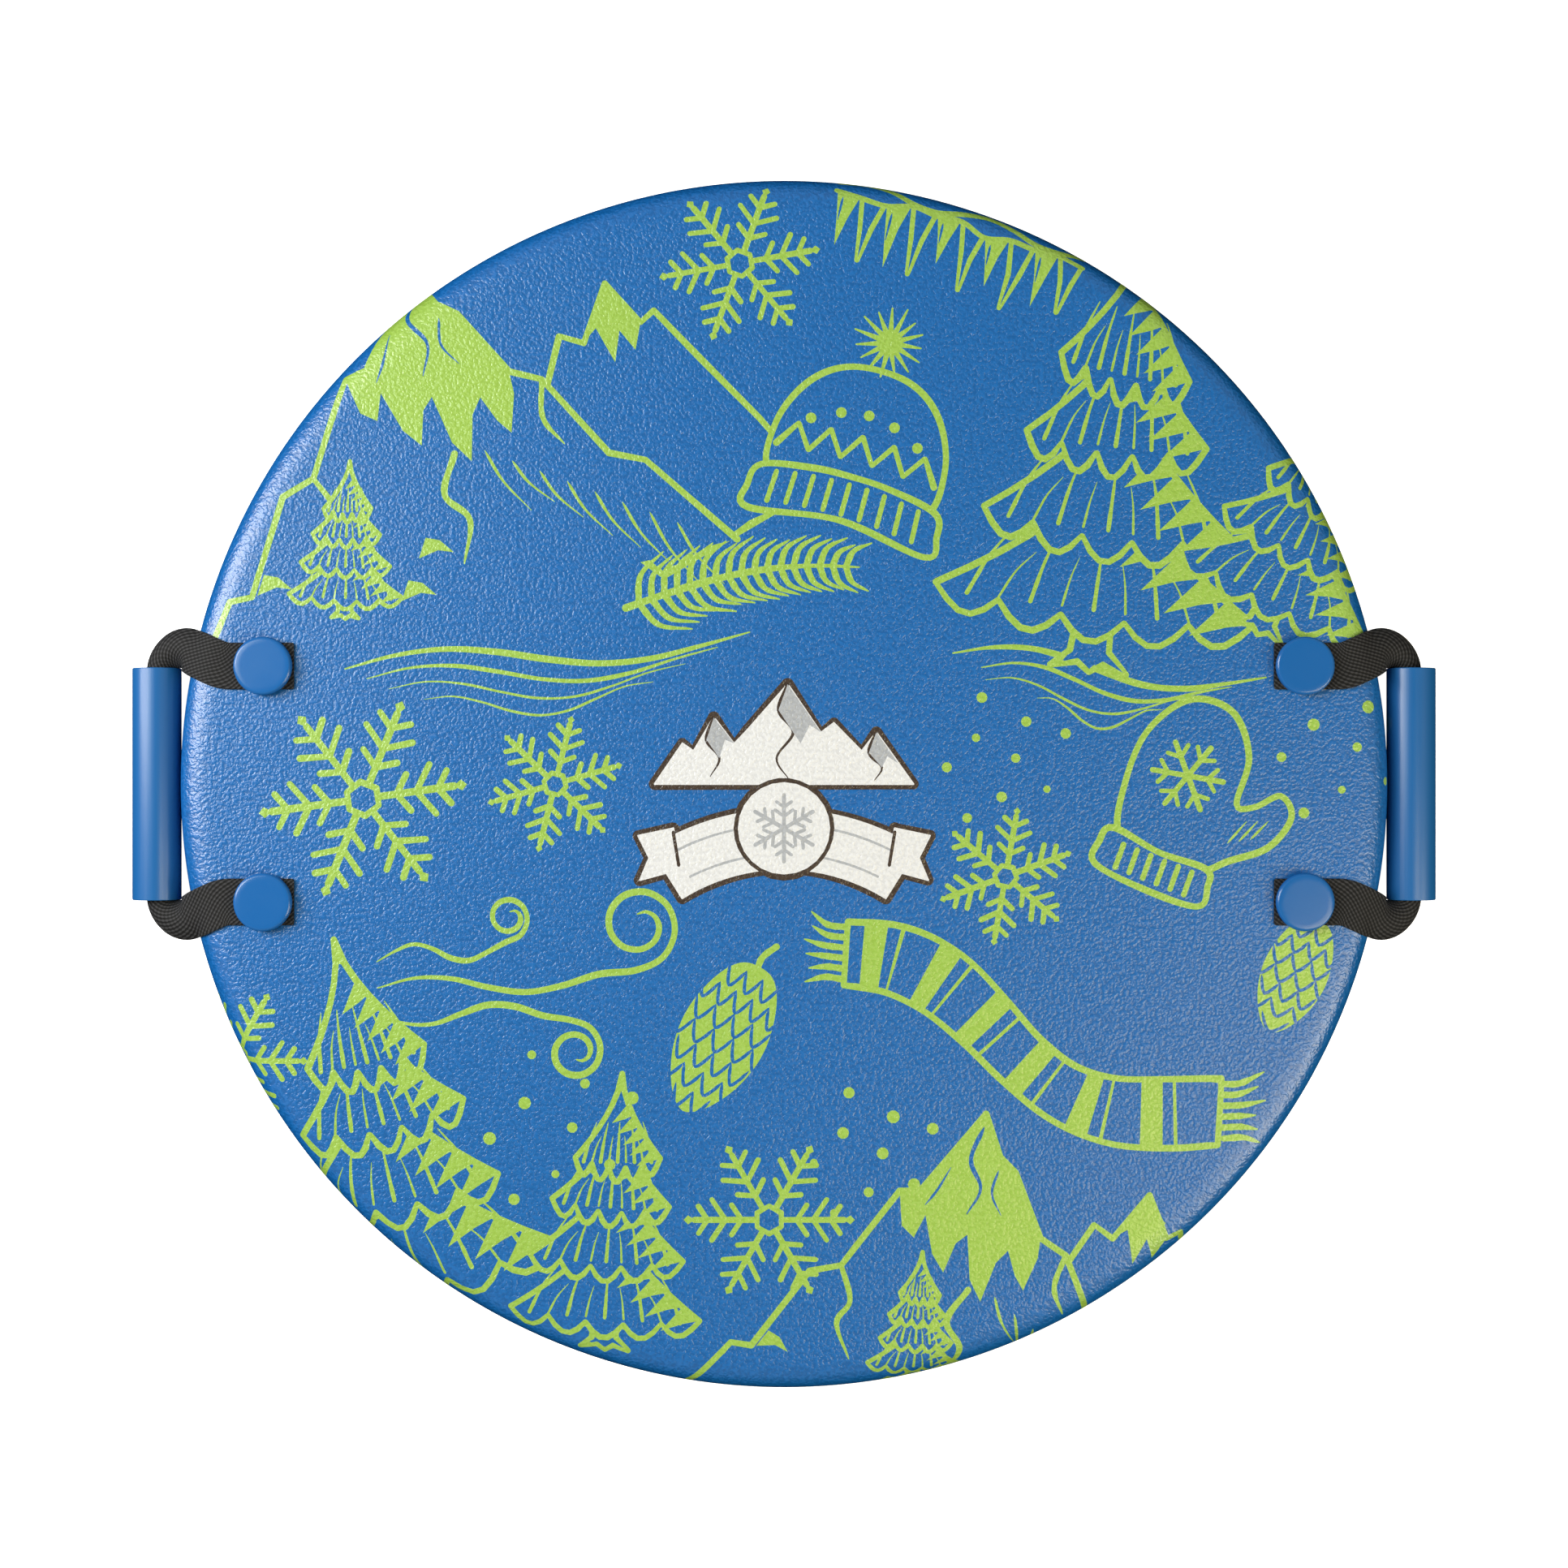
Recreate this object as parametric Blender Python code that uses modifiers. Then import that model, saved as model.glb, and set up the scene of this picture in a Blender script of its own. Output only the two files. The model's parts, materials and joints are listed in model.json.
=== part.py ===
"""Round foam snow sled with two swinging webbing handles.

A disc of closed-cell foam carries a printed skin on top and a slick sheet below. Each handle is
one length of webbing that is clamped under two screwed buttons and runs through a loose grip tube.

Metres, +Z up. The origin is the centre of the disc on the ground, +Y is the front of the sled and
+X is the rider's right hand. Every place below is worked out from the named sizes.
"""

import math

import bmesh
import bpy
from mathutils import Matrix, Vector

# Disc
DISC_DIAMETER = 0.660
DISC_THICKNESS = 0.038
WIDEST_HEIGHT = 0.017
SHOULDER_WIDTH = 0.022
TUCK_WIDTH = 0.012
SKIN_THICKNESS = 0.001
HEM_WIDTH = 0.012
SLICK_THICKNESS = 0.0008
SLICK_EDGE_SETBACK = 0.0006
SLICK_EDGE_RADIUS = 0.0005
LAYER_GAP = 0.0003

# Screwed fasteners: a button above and a plug below, drawn together through the foam
BUTTON_DIAMETER = 0.0315
BUTTON_HEAD_HEIGHT = 0.0042
BUTTON_EDGE_RADIUS = 0.0018
BUTTON_SKIRT_CHAMFER = 0.0004
POST_DIAMETER = 0.008
POST_TIP_CHAMFER = 0.0012
POST_TIP_GAP = 0.0020
POST_FIT_GAP = 0.0003
PLUG_FLANGE_DIAMETER = 0.030
PLUG_FLANGE_THICKNESS = 0.0026
PLUG_EDGE_RADIUS = 0.0006
PLUG_FLOOR_THICKNESS = 0.0022
PLUG_FACE_RECESS = 0.0003
SLEEVE_DIAMETER = 0.012
SLEEVE_ROOT_FILLET = 0.0008
PLUG_FIT_GAP = 0.0003
PLUG_HEM_GAP = 0.0021
COIN_SLOT_LENGTH = 0.019
COIN_SLOT_WIDTH = 0.0024
COIN_SLOT_DEPTH = 0.0010

# Webbing
WEB_WIDTH = 0.0254
WEB_THICKNESS = 0.0016
TAB_OVERHANG = 0.0006
TAB_CORNER_RADIUS = 0.0012
CREASE_OFFSET = 0.0023
LEAD_RADIUS = 0.0200
TURN_PINCH = 0.0004
SPLAY_DEG = 24.0
DROP_LAG = 0.0017
CURL_LAG = 0.0107
CURL_FILL_SHARE = 0.72
SEAT_DEG = 15.0
MOUTH_INSET = 0.0018
WEB_FIT_GAP = 0.0005

# Grip tube
TUBE_DIAMETER = 0.0264
TUBE_WALL = 0.0020
TUBE_LENGTH = 0.127
TUBE_RIM_GAP = 0.0010
TUBE_RISE = 0.0013
TUBE_LIP_RADIUS = 0.0006

# Cutters reach this far past what they cut
OVERRUN = 0.0020

# Facets of the round shapes
DISC_STEPS = 72
TUBE_STEPS = 32
FASTENER_STEPS = 24
SHOULDER_STEPS = 5
TUCK_STEPS = 3
EDGE_STEPS = 2
WEB_STEPS_ACROSS = 7
LEAD_STEPS = 3
RUN_STEPS = 4
TURN_STEPS = 10
CREASE_ROUND_STEPS = 3

# The rounded end at the crease stops short of a point, and edges sharper than this stay sharp
CREASE_ROUND_DEG = 75.0
SHARP_EDGE_DEG = 40.0

# Distances closer than this are one point where a turned profile meets its axis
WELD_DISTANCE = 0.00001

# Where the layers of the disc lie
DISC_RADIUS = DISC_DIAMETER / 2
DECK_Z = DISC_THICKNESS
HEM_Z = SLICK_THICKNESS + LAYER_GAP
CORE_TOP_Z = DECK_Z - SKIN_THICKNESS - LAYER_GAP
SHOULDER_RADIUS = DISC_RADIUS - SHOULDER_WIDTH
TUCK_RADIUS = DISC_RADIUS - TUCK_WIDTH
HEM_INNER_RADIUS = TUCK_RADIUS - HEM_WIDTH

# Where the handles lie, on the right-hand side; the left-hand side is turned half a circle
TUBE_RADIUS = TUBE_DIAMETER / 2
BORE_RADIUS = TUBE_RADIUS - TUBE_WALL
TUBE_X = DISC_RADIUS + TUBE_RIM_GAP + TUBE_RADIUS
TUBE_Z = WIDEST_HEIGHT + TUBE_RISE
WEB_Z = DECK_Z + LAYER_GAP + WEB_THICKNESS / 2
BUTTON_RADIUS = BUTTON_DIAMETER / 2
FLANGE_RADIUS = PLUG_FLANGE_DIAMETER / 2
FASTENER_CIRCLE = HEM_INNER_RADIUS - PLUG_HEM_GAP - PLUG_FIT_GAP - FLANGE_RADIUS

# The webbing's middle line: a lead-in bend, a straight run and the turn into the tube
SPLAY = math.radians(SPLAY_DEG)
TURN_RADIUS = WEB_WIDTH / 2 - TURN_PINCH
CURL_RADIUS = (BORE_RADIUS - WEB_FIT_GAP - WEB_THICKNESS / 2) * CURL_FILL_SHARE
SEAT_OFFSET = BORE_RADIUS - WEB_FIT_GAP - WEB_THICKNESS / 2 - CURL_RADIUS
CURL_X = TUBE_X - SEAT_OFFSET * math.cos(math.radians(SEAT_DEG))
CROWN_Z = TUBE_Z + SEAT_OFFSET * math.sin(math.radians(SEAT_DEG)) + CURL_RADIUS
TURN_REACH = TURN_RADIUS * (1 + math.sin(SPLAY))
TURN_END_Y = TUBE_LENGTH / 2 - MOUTH_INSET
LEAD_REACH = LEAD_RADIUS * math.sin(SPLAY)
LEAD_RISE = LEAD_RADIUS * (1 - math.cos(SPLAY))

# The buttons stand where the straight run, drawn back from the turn, meets the fasteners' circle
RUN_END_Y = TURN_END_Y + TURN_RADIUS * math.cos(SPLAY)
RUN_SPAN = CURL_X - TURN_REACH - LEAD_REACH - CREASE_OFFSET - BUTTON_RADIUS
RUN_SLOPE = math.tan(SPLAY)
RUN_AXIS_Y = RUN_END_Y - LEAD_RISE - RUN_SLOPE * RUN_SPAN
CIRCLE_ROOM = (1 + RUN_SLOPE**2) * FASTENER_CIRCLE**2 - RUN_AXIS_Y**2
BUTTON_X = (math.sqrt(CIRCLE_ROOM) - RUN_SLOPE * RUN_AXIS_Y) / (1 + RUN_SLOPE**2)
BUTTON_Y = RUN_AXIS_Y + RUN_SLOPE * BUTTON_X
CREASE_X = BUTTON_X + BUTTON_RADIUS + CREASE_OFFSET

# Lengths along the middle line, and where it starts to drop and to curl past the shoulder
LEAD_LENGTH = LEAD_RADIUS * SPLAY
RUN_LENGTH = (RUN_SPAN - BUTTON_X) / math.cos(SPLAY)
RUN_RISE = RUN_LENGTH * math.sin(SPLAY)
TURN_LENGTH = TURN_RADIUS * (SPLAY + math.pi / 2)
PATH_LENGTH = LEAD_LENGTH + RUN_LENGTH + TURN_LENGTH
SHOULDER_DISTANCE = math.sqrt(SHOULDER_RADIUS**2 - BUTTON_Y**2) - CREASE_X
DROP_START = SHOULDER_DISTANCE + DROP_LAG
CURL_START = SHOULDER_DISTANCE + CURL_LAG
SETTLE_DISTANCE = PATH_LENGTH - MOUTH_INSET

# Where the fasteners' faces lie
HEAD_UNDER_Z = WEB_Z + WEB_THICKNESS / 2 + LAYER_GAP
HEAD_TOP_Z = HEAD_UNDER_Z + BUTTON_HEAD_HEIGHT
POST_RADIUS = POST_DIAMETER / 2
SOCKET_RADIUS = POST_RADIUS + POST_FIT_GAP
SLEEVE_RADIUS = SLEEVE_DIAMETER / 2
PLUG_FACE_Z = PLUG_FACE_RECESS
SOCKET_FLOOR_Z = PLUG_FACE_Z + PLUG_FLOOR_THICKNESS
FLANGE_TOP_Z = PLUG_FACE_Z + PLUG_FLANGE_THICKNESS
SLEEVE_TOP_Z = CORE_TOP_Z
POST_TIP_Z = SOCKET_FLOOR_Z + POST_TIP_GAP

# Each button's name and the signs of its place along X and Y
CORNERS = (
    ("front_right", 1, 1),
    ("rear_right", 1, -1),
    ("front_left", -1, 1),
    ("rear_left", -1, -1),
)
SIDES = (("right", 0.0), ("left", math.pi))


def clear_scene():
    """Removes every object, so that the script can be run again in the same file."""
    for old in list(bpy.data.objects):
        bpy.data.objects.remove(old, do_unlink=True)


def new_collection(name):
    """Makes a collection under the scene's own."""
    collection = bpy.data.collections.new(name)
    bpy.context.scene.collection.children.link(collection)
    return collection


def linear(channel):
    """Turns one sRGB channel, from 0 to 1, to linear light."""
    if channel <= 0.04045:
        return channel / 12.92
    return ((channel + 0.055) / 1.055) ** 2.4


def make_material(name, hex_colour, roughness, metallic=0.0):
    """Makes a Principled material from an sRGB colour such as 3A74B4."""
    channels = [int(hex_colour[i : i + 2], 16) / 255 for i in (0, 2, 4)]
    material = bpy.data.materials.new(name)
    material.use_nodes = True
    shader = material.node_tree.nodes["Principled BSDF"]
    shader.inputs["Base Color"].default_value = (*[linear(c) for c in channels], 1)
    shader.inputs["Roughness"].default_value = roughness
    shader.inputs["Metallic"].default_value = metallic
    return material


def add_object(name, mesh, collection, material=None, place=(0, 0, 0), turn=(0, 0, 0)):
    """Adds a mesh to a collection as one named object."""
    thing = bpy.data.objects.new(name, mesh)
    thing.location = place
    thing.rotation_euler = turn
    if material and not mesh.materials:
        mesh.materials.append(material)
    collection.objects.link(thing)
    return thing


def add_cutter(name, mesh, place=(0, 0, 0), turn=(0, 0, 0)):
    """Adds a mesh that only cuts others, drawn as wire and left out of renders."""
    cutter = add_object(name, mesh, CUTTERS, place=place, turn=turn)
    cutter.hide_render = True
    cutter.display_type = "WIRE"
    return cutter


def cut(thing, cutter):
    """Takes the cutter's shape out of the object."""
    modifier = thing.modifiers.new("cut " + cutter.name, "BOOLEAN")
    modifier.operation = "DIFFERENCE"
    modifier.object = cutter


def profile_mesh(name, points, closed=False):
    """Makes a mesh of edges through (radius, height) points, for a Screw modifier."""
    count = len(points)
    edges = [(i, i + 1) for i in range(count - 1)]
    if closed:
        edges.append((count - 1, 0))
    mesh = bpy.data.meshes.new(name)
    mesh.from_pydata([(radius, 0, height) for radius, height in points], edges, [])
    return mesh


def turn_profile(thing, steps):
    """Turns the object's profile once round its own Z axis."""
    screw = thing.modifiers.new("turned", "SCREW")
    screw.steps = steps
    screw.render_steps = steps
    screw.use_merge_vertices = True
    screw.merge_threshold = WELD_DISTANCE
    screw.use_smooth_shade = True


def smooth_by_angle(mesh):
    """Shades the mesh smooth apart from its sharp edges."""
    mesh.shade_smooth()
    mesh.set_sharp_from_angle(angle=math.radians(SHARP_EDGE_DEG))


def keep_flats_flat():
    """Weights each piece's normals by face, so that wide flats shade flat beside rounded edges."""
    for thing in PARTS.objects:
        weighting = thing.modifiers.new("flat faces", "WEIGHTED_NORMAL")
        weighting.keep_sharp = True


def arc(centre_r, centre_z, width, height, start_deg, end_deg, steps):
    """Points along part of an ellipse in a profile, both ends included."""
    points = []
    for i in range(steps + 1):
        angle = math.radians(start_deg + (end_deg - start_deg) * i / steps)
        points.append((centre_r + width * math.cos(angle), centre_z + height * math.sin(angle)))
    return points


def rim_profile(inset):
    """The rim from the deck's flat to the tuck below, drawn inset inside the skin's face."""
    shoulder = arc(
        SHOULDER_RADIUS,
        WIDEST_HEIGHT,
        SHOULDER_WIDTH - inset,
        DECK_Z - WIDEST_HEIGHT - inset,
        90,
        0,
        SHOULDER_STEPS,
    )
    tuck = arc(
        TUCK_RADIUS,
        WIDEST_HEIGHT,
        TUCK_WIDTH - inset,
        WIDEST_HEIGHT - HEM_Z - inset,
        0,
        -90,
        TUCK_STEPS,
    )
    return shoulder + tuck[1:]


def corner_place(across, along, height=0.0):
    """The place of one fastener, from the signs of its corner."""
    return (across * BUTTON_X, along * BUTTON_Y, height)


def build_skin(material):
    """The printed skin: one sheet over the deck, round the rim and a hem below."""
    points = [(0, DECK_Z)] + rim_profile(0) + [(HEM_INNER_RADIUS, HEM_Z)]
    skin = add_object("deck_skin", profile_mesh("deck_skin", points), PARTS, material)
    turn_profile(skin, DISC_STEPS)
    shell = skin.modifiers.new("thickness", "SOLIDIFY")
    shell.thickness = SKIN_THICKNESS
    shell.offset = -1
    shell.use_even_offset = True
    return skin


def build_core(material):
    """The foam core, which fills the skin and is stepped up over the hem."""
    inset = SKIN_THICKNESS + LAYER_GAP
    step_r = HEM_INNER_RADIUS - LAYER_GAP
    points = [(0, CORE_TOP_Z)] + rim_profile(inset)
    points += [(step_r, HEM_Z + inset), (step_r, HEM_Z), (0, HEM_Z)]
    core = add_object("foam_core", profile_mesh("foam_core", points), PARTS, material)
    turn_profile(core, DISC_STEPS)
    return core


def build_slick(material):
    """The slick running sheet, flat on the ground, with its lower edge eased."""
    edge_r = TUCK_RADIUS - SLICK_EDGE_SETBACK
    easing = arc(
        edge_r - SLICK_EDGE_RADIUS,
        SLICK_EDGE_RADIUS,
        SLICK_EDGE_RADIUS,
        SLICK_EDGE_RADIUS,
        0,
        -90,
        EDGE_STEPS,
    )
    points = [(0, SLICK_THICKNESS), (edge_r, SLICK_THICKNESS)] + easing + [(0, 0)]
    slick = add_object("slick_bottom", profile_mesh("slick_bottom", points), PARTS, material)
    turn_profile(slick, DISC_STEPS)
    return slick


def fastener_hole_mesh():
    """The hole that one fastener needs: a pocket for the flange and a bore for the sleeve."""
    pocket_r = FLANGE_RADIUS + PLUG_FIT_GAP
    bore_r = SLEEVE_RADIUS + PLUG_FIT_GAP
    pocket_top = FLANGE_TOP_Z + LAYER_GAP
    points = [
        (0, CORE_TOP_Z + OVERRUN),
        (bore_r, CORE_TOP_Z + OVERRUN),
        (bore_r, pocket_top + SLEEVE_ROOT_FILLET),
        (bore_r + SLEEVE_ROOT_FILLET, pocket_top),
        (pocket_r, pocket_top),
        (pocket_r, -OVERRUN),
        (0, -OVERRUN),
    ]
    return profile_mesh("fastener_hole", points)


def post_hole_mesh():
    """The hole for the button's post through the skin and the webbing."""
    low = CORE_TOP_Z - OVERRUN
    high = HEAD_UNDER_Z + OVERRUN
    points = [(0, high), (SOCKET_RADIUS, high), (SOCKET_RADIUS, low), (0, low)]
    return profile_mesh("post_hole", points)


def cut_fastener_holes(skin, core, slick):
    """Cuts the four fasteners' holes through the layers of the disc."""
    wide = fastener_hole_mesh()
    narrow = post_hole_mesh()
    for corner, across, along in CORNERS:
        place = corner_place(across, along)
        pocket = add_cutter("fastener_hole_" + corner, wide, place)
        turn_profile(pocket, FASTENER_STEPS)
        cut(core, pocket)
        cut(slick, pocket)
        post_hole = add_cutter("post_hole_" + corner, narrow, place)
        turn_profile(post_hole, FASTENER_STEPS)
        cut(skin, post_hole)


def button_mesh():
    """The button: a flat round head with an eased edge, and a post with a lead-in tip."""
    edge = arc(
        BUTTON_RADIUS - BUTTON_EDGE_RADIUS,
        HEAD_TOP_Z - BUTTON_EDGE_RADIUS,
        BUTTON_EDGE_RADIUS,
        BUTTON_EDGE_RADIUS,
        90,
        0,
        EDGE_STEPS + 1,
    )
    points = [(0, HEAD_TOP_Z)] + edge
    points += [
        (BUTTON_RADIUS, HEAD_UNDER_Z + BUTTON_SKIRT_CHAMFER),
        (BUTTON_RADIUS - BUTTON_SKIRT_CHAMFER, HEAD_UNDER_Z),
        (POST_RADIUS, HEAD_UNDER_Z),
        (POST_RADIUS, POST_TIP_Z + POST_TIP_CHAMFER),
        (POST_RADIUS - POST_TIP_CHAMFER, POST_TIP_Z),
        (0, POST_TIP_Z),
    ]
    return profile_mesh("button", points)


def plug_mesh():
    """The plug: a flush flange below, and a sleeve up through the foam that takes the post."""
    flange_edge = arc(
        FLANGE_RADIUS - PLUG_EDGE_RADIUS,
        PLUG_FACE_Z + PLUG_EDGE_RADIUS,
        PLUG_EDGE_RADIUS,
        PLUG_EDGE_RADIUS,
        0,
        -90,
        EDGE_STEPS,
    )
    points = [
        (0, SOCKET_FLOOR_Z),
        (SOCKET_RADIUS, SOCKET_FLOOR_Z),
        (SOCKET_RADIUS, SLEEVE_TOP_Z),
        (SLEEVE_RADIUS, SLEEVE_TOP_Z),
        (SLEEVE_RADIUS, FLANGE_TOP_Z + SLEEVE_ROOT_FILLET),
        (SLEEVE_RADIUS + SLEEVE_ROOT_FILLET, FLANGE_TOP_Z),
        (FLANGE_RADIUS, FLANGE_TOP_Z),
    ]
    points += flange_edge + [(0, PLUG_FACE_Z)]
    return profile_mesh("lock_plug", points)


def coin_slot_mesh():
    """The bar that cuts a plug's coin slot, with its middle on the plug's face."""
    mesh = bpy.data.meshes.new("coin_slot")
    bar = bmesh.new()
    size = Matrix.Diagonal((COIN_SLOT_LENGTH, COIN_SLOT_WIDTH, COIN_SLOT_DEPTH * 2, 1))
    bmesh.ops.create_cube(bar, size=1, matrix=size)
    bar.to_mesh(mesh)
    bar.free()
    return mesh


def build_fasteners(button_material, plug_material):
    """The four buttons and the four plugs that they screw into."""
    head = button_mesh()
    plug_profile = plug_mesh()
    slot = coin_slot_mesh()
    for corner, across, along in CORNERS:
        place = corner_place(across, along)
        button = add_object("button_" + corner, head, PARTS, button_material, place)
        turn_profile(button, FASTENER_STEPS)
        plug = add_object("lock_plug_" + corner, plug_profile, PARTS, plug_material, place)
        turn_profile(plug, FASTENER_STEPS)
        slot_place = corner_place(across, along, PLUG_FACE_Z)
        cut(plug, add_cutter("coin_slot_" + corner, slot, slot_place))


def tab_mesh(material):
    """The webbing's end under a button, from its cut end to the crease."""
    inner_x = -BUTTON_RADIUS - TAB_OVERHANG
    outer_x = BUTTON_RADIUS + CREASE_OFFSET - WEB_THICKNESS / 2 - LAYER_GAP
    middle_x = (inner_x + outer_x) / 2
    size = Matrix.Diagonal((outer_x - inner_x, WEB_WIDTH, WEB_THICKNESS, 1))
    tab = bmesh.new()
    bmesh.ops.create_cube(tab, size=1, matrix=Matrix.Translation((middle_x, 0, 0)) @ size)
    corners = []
    for edge in tab.edges:
        first, second = edge.verts
        upright = abs(first.co.z - second.co.z) > WEB_THICKNESS / 2
        if upright and first.co.x < middle_x:
            corners.append(edge)
    bmesh.ops.bevel(
        tab,
        geom=corners,
        offset=TAB_CORNER_RADIUS,
        segments=EDGE_STEPS,
        affect="EDGES",
    )
    mesh = bpy.data.meshes.new("strap_tab")
    tab.to_mesh(mesh)
    tab.free()
    mesh.materials.append(material)
    smooth_by_angle(mesh)
    return mesh


def build_tabs(material):
    """The four clamped ends of the two webbing straps, each with its post hole."""
    mesh = tab_mesh(material)
    hole = post_hole_mesh()
    for corner, across, along in CORNERS:
        place = corner_place(across, along, WEB_Z)
        turn = (0, 0, 0 if across > 0 else math.pi)
        tab = add_object("strap_tab_" + corner, mesh, PARTS, None, place, turn)
        cutter = add_cutter("tab_hole_" + corner, hole, corner_place(across, along))
        turn_profile(cutter, FASTENER_STEPS)
        cut(tab, cutter)


def ease(share):
    """Rises smoothly from 0 to 1, and stays there."""
    share = min(max(share, 0.0), 1.0)
    return share * share * (3 - 2 * share)


def web_heading(distance):
    """The plan angle of the webbing's middle line, and its place, at a distance past the crease."""
    if distance <= LEAD_LENGTH:
        heading = distance / LEAD_RADIUS
        across = LEAD_RADIUS * math.sin(heading)
        along = LEAD_RADIUS * (1 - math.cos(heading))
        return heading, CREASE_X + across, BUTTON_Y + along
    lead_x = CREASE_X + LEAD_REACH
    lead_y = BUTTON_Y + LEAD_RISE
    travelled = distance - LEAD_LENGTH
    if travelled <= RUN_LENGTH:
        across = travelled * math.cos(SPLAY)
        along = travelled * math.sin(SPLAY)
        return SPLAY, lead_x + across, lead_y + along
    heading = SPLAY - (travelled - RUN_LENGTH) / TURN_RADIUS
    across = RUN_LENGTH * math.cos(SPLAY) + TURN_RADIUS * (math.sin(SPLAY) - math.sin(heading))
    along = RUN_RISE + TURN_RADIUS * (math.cos(heading) - math.cos(SPLAY))
    return heading, lead_x + across, lead_y + along


def web_height(distance):
    """The height of the webbing's middle line, from the deck down to its crown in the tube."""
    fallen = ease((distance - DROP_START) / (SETTLE_DISTANCE - DROP_START))
    return WEB_Z + (CROWN_Z - WEB_Z) * fallen


def web_frame(distance):
    """The webbing's middle point, its sideways and upward directions, and its curl radius."""
    heading, across, along = web_heading(distance)
    nudge = WEB_THICKNESS / 2
    slope = (web_height(distance + nudge) - web_height(distance - nudge)) / (2 * nudge)
    forward = Vector((math.cos(heading), math.sin(heading), slope)).normalized()
    sideways = Vector((math.sin(heading), -math.cos(heading), 0))
    upward = sideways.cross(forward)
    curled = ease((distance - CURL_START) / (SETTLE_DISTANCE - CURL_START))
    radius = CURL_RADIUS / curled if curled > WELD_DISTANCE else None
    return Vector((across, along, web_height(distance))), sideways, upward, radius


def web_ring(distance, half_thickness):
    """One closed section of the webbing: flat at first, then curled more and more into a trough."""
    middle, sideways, upward, radius = web_frame(distance)
    flat_half = WEB_WIDTH / 2 - WEB_THICKNESS / 2
    spots = []
    for i in range(WEB_STEPS_ACROSS + 1):
        spots.append((flat_half * (2 * i / WEB_STEPS_ACROSS - 1), half_thickness))
    spots.append((WEB_WIDTH / 2, 0))
    for i in range(WEB_STEPS_ACROSS + 1):
        spots.append((flat_half * (1 - 2 * i / WEB_STEPS_ACROSS), -half_thickness))
    spots.append((-WEB_WIDTH / 2, 0))
    ring = []
    for width_place, layer in spots:
        if radius is None:
            ring.append(middle + sideways * width_place + upward * layer)
            continue
        bend = width_place / radius
        out = (radius + layer) * math.sin(bend)
        rise = (radius + layer) * math.cos(bend) - radius
        ring.append(middle + sideways * out + upward * rise)
    return ring


def web_rings():
    """The sections of half a loop, from its rounded end at the crease to the middle of the tube."""
    half = WEB_THICKNESS / 2
    rings = []
    for i in range(CREASE_ROUND_STEPS):
        share = (CREASE_ROUND_STEPS - i) / CREASE_ROUND_STEPS
        angle = math.radians(CREASE_ROUND_DEG) * share
        ring = web_ring(0, half * math.cos(angle))
        back = Vector((half * math.sin(angle), 0, 0))
        rings.append([point - back for point in ring])
    distances = [LEAD_LENGTH * i / LEAD_STEPS for i in range(LEAD_STEPS)]
    distances += [LEAD_LENGTH + RUN_LENGTH * i / RUN_STEPS for i in range(RUN_STEPS)]
    turn_start = LEAD_LENGTH + RUN_LENGTH
    distances += [turn_start + TURN_LENGTH * i / TURN_STEPS for i in range(TURN_STEPS + 1)]
    rings += [web_ring(distance, half) for distance in distances]
    rings.append([Vector((point.x, 0, point.z)) for point in rings[-1]])
    return rings


def loop_mesh(material):
    """Half of a loop as a loft of its sections, with its origin on the crease."""
    origin = Vector((CREASE_X, 0, WEB_Z))
    loft = bmesh.new()
    rows = [[loft.verts.new(point - origin) for point in ring] for ring in web_rings()]
    for row, following in zip(rows, rows[1:]):
        count = len(row)
        for i in range(count):
            j = (i + 1) % count
            loft.faces.new((row[i], row[j], following[j], following[i]))
    first = rows[0]
    across = WEB_STEPS_ACROSS
    for i in range(across):
        top_left, top_right = first[i], first[i + 1]
        low_right, low_left = first[2 * across + 1 - i], first[2 * across + 2 - i]
        loft.faces.new((low_left, low_right, top_right, top_left))
    loft.faces.new((first[across], first[across + 2], first[across + 1]))
    loft.faces.new((first[2 * across + 2], first[0], first[2 * across + 3]))
    bmesh.ops.recalc_face_normals(loft, faces=loft.faces)
    mesh = bpy.data.meshes.new("strap_loop")
    loft.to_mesh(mesh)
    loft.free()
    mesh.materials.append(material)
    smooth_by_angle(mesh)
    return mesh


def build_loops(material):
    """The two swinging loops, each mirrored about the middle of its grip."""
    mesh = loop_mesh(material)
    loops = {}
    for side, turn in SIDES:
        place = (CREASE_X * math.cos(turn), 0, WEB_Z)
        loop = add_object("strap_loop_" + side, mesh, PARTS, None, place, (0, 0, turn))
        mirror = loop.modifiers.new("other half", "MIRROR")
        mirror.use_axis = (False, True, False)
        mirror.use_mirror_merge = True
        mirror.merge_threshold = WELD_DISTANCE
        loops[side] = loop
    return loops


def tube_mesh():
    """The wall of a grip tube, with its inner and outer lips rounded."""
    lip = TUBE_LIP_RADIUS
    end = TUBE_LENGTH / 2
    points = arc(TUBE_RADIUS - lip, end - lip, lip, lip, 90, 0, EDGE_STEPS)
    points += arc(TUBE_RADIUS - lip, lip - end, lip, lip, 0, -90, EDGE_STEPS)
    points += arc(BORE_RADIUS + lip, lip - end, lip, lip, 270, 180, EDGE_STEPS)
    points += arc(BORE_RADIUS + lip, end - lip, lip, lip, 180, 90, EDGE_STEPS)
    return profile_mesh("grip_tube", points, closed=True)


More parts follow.
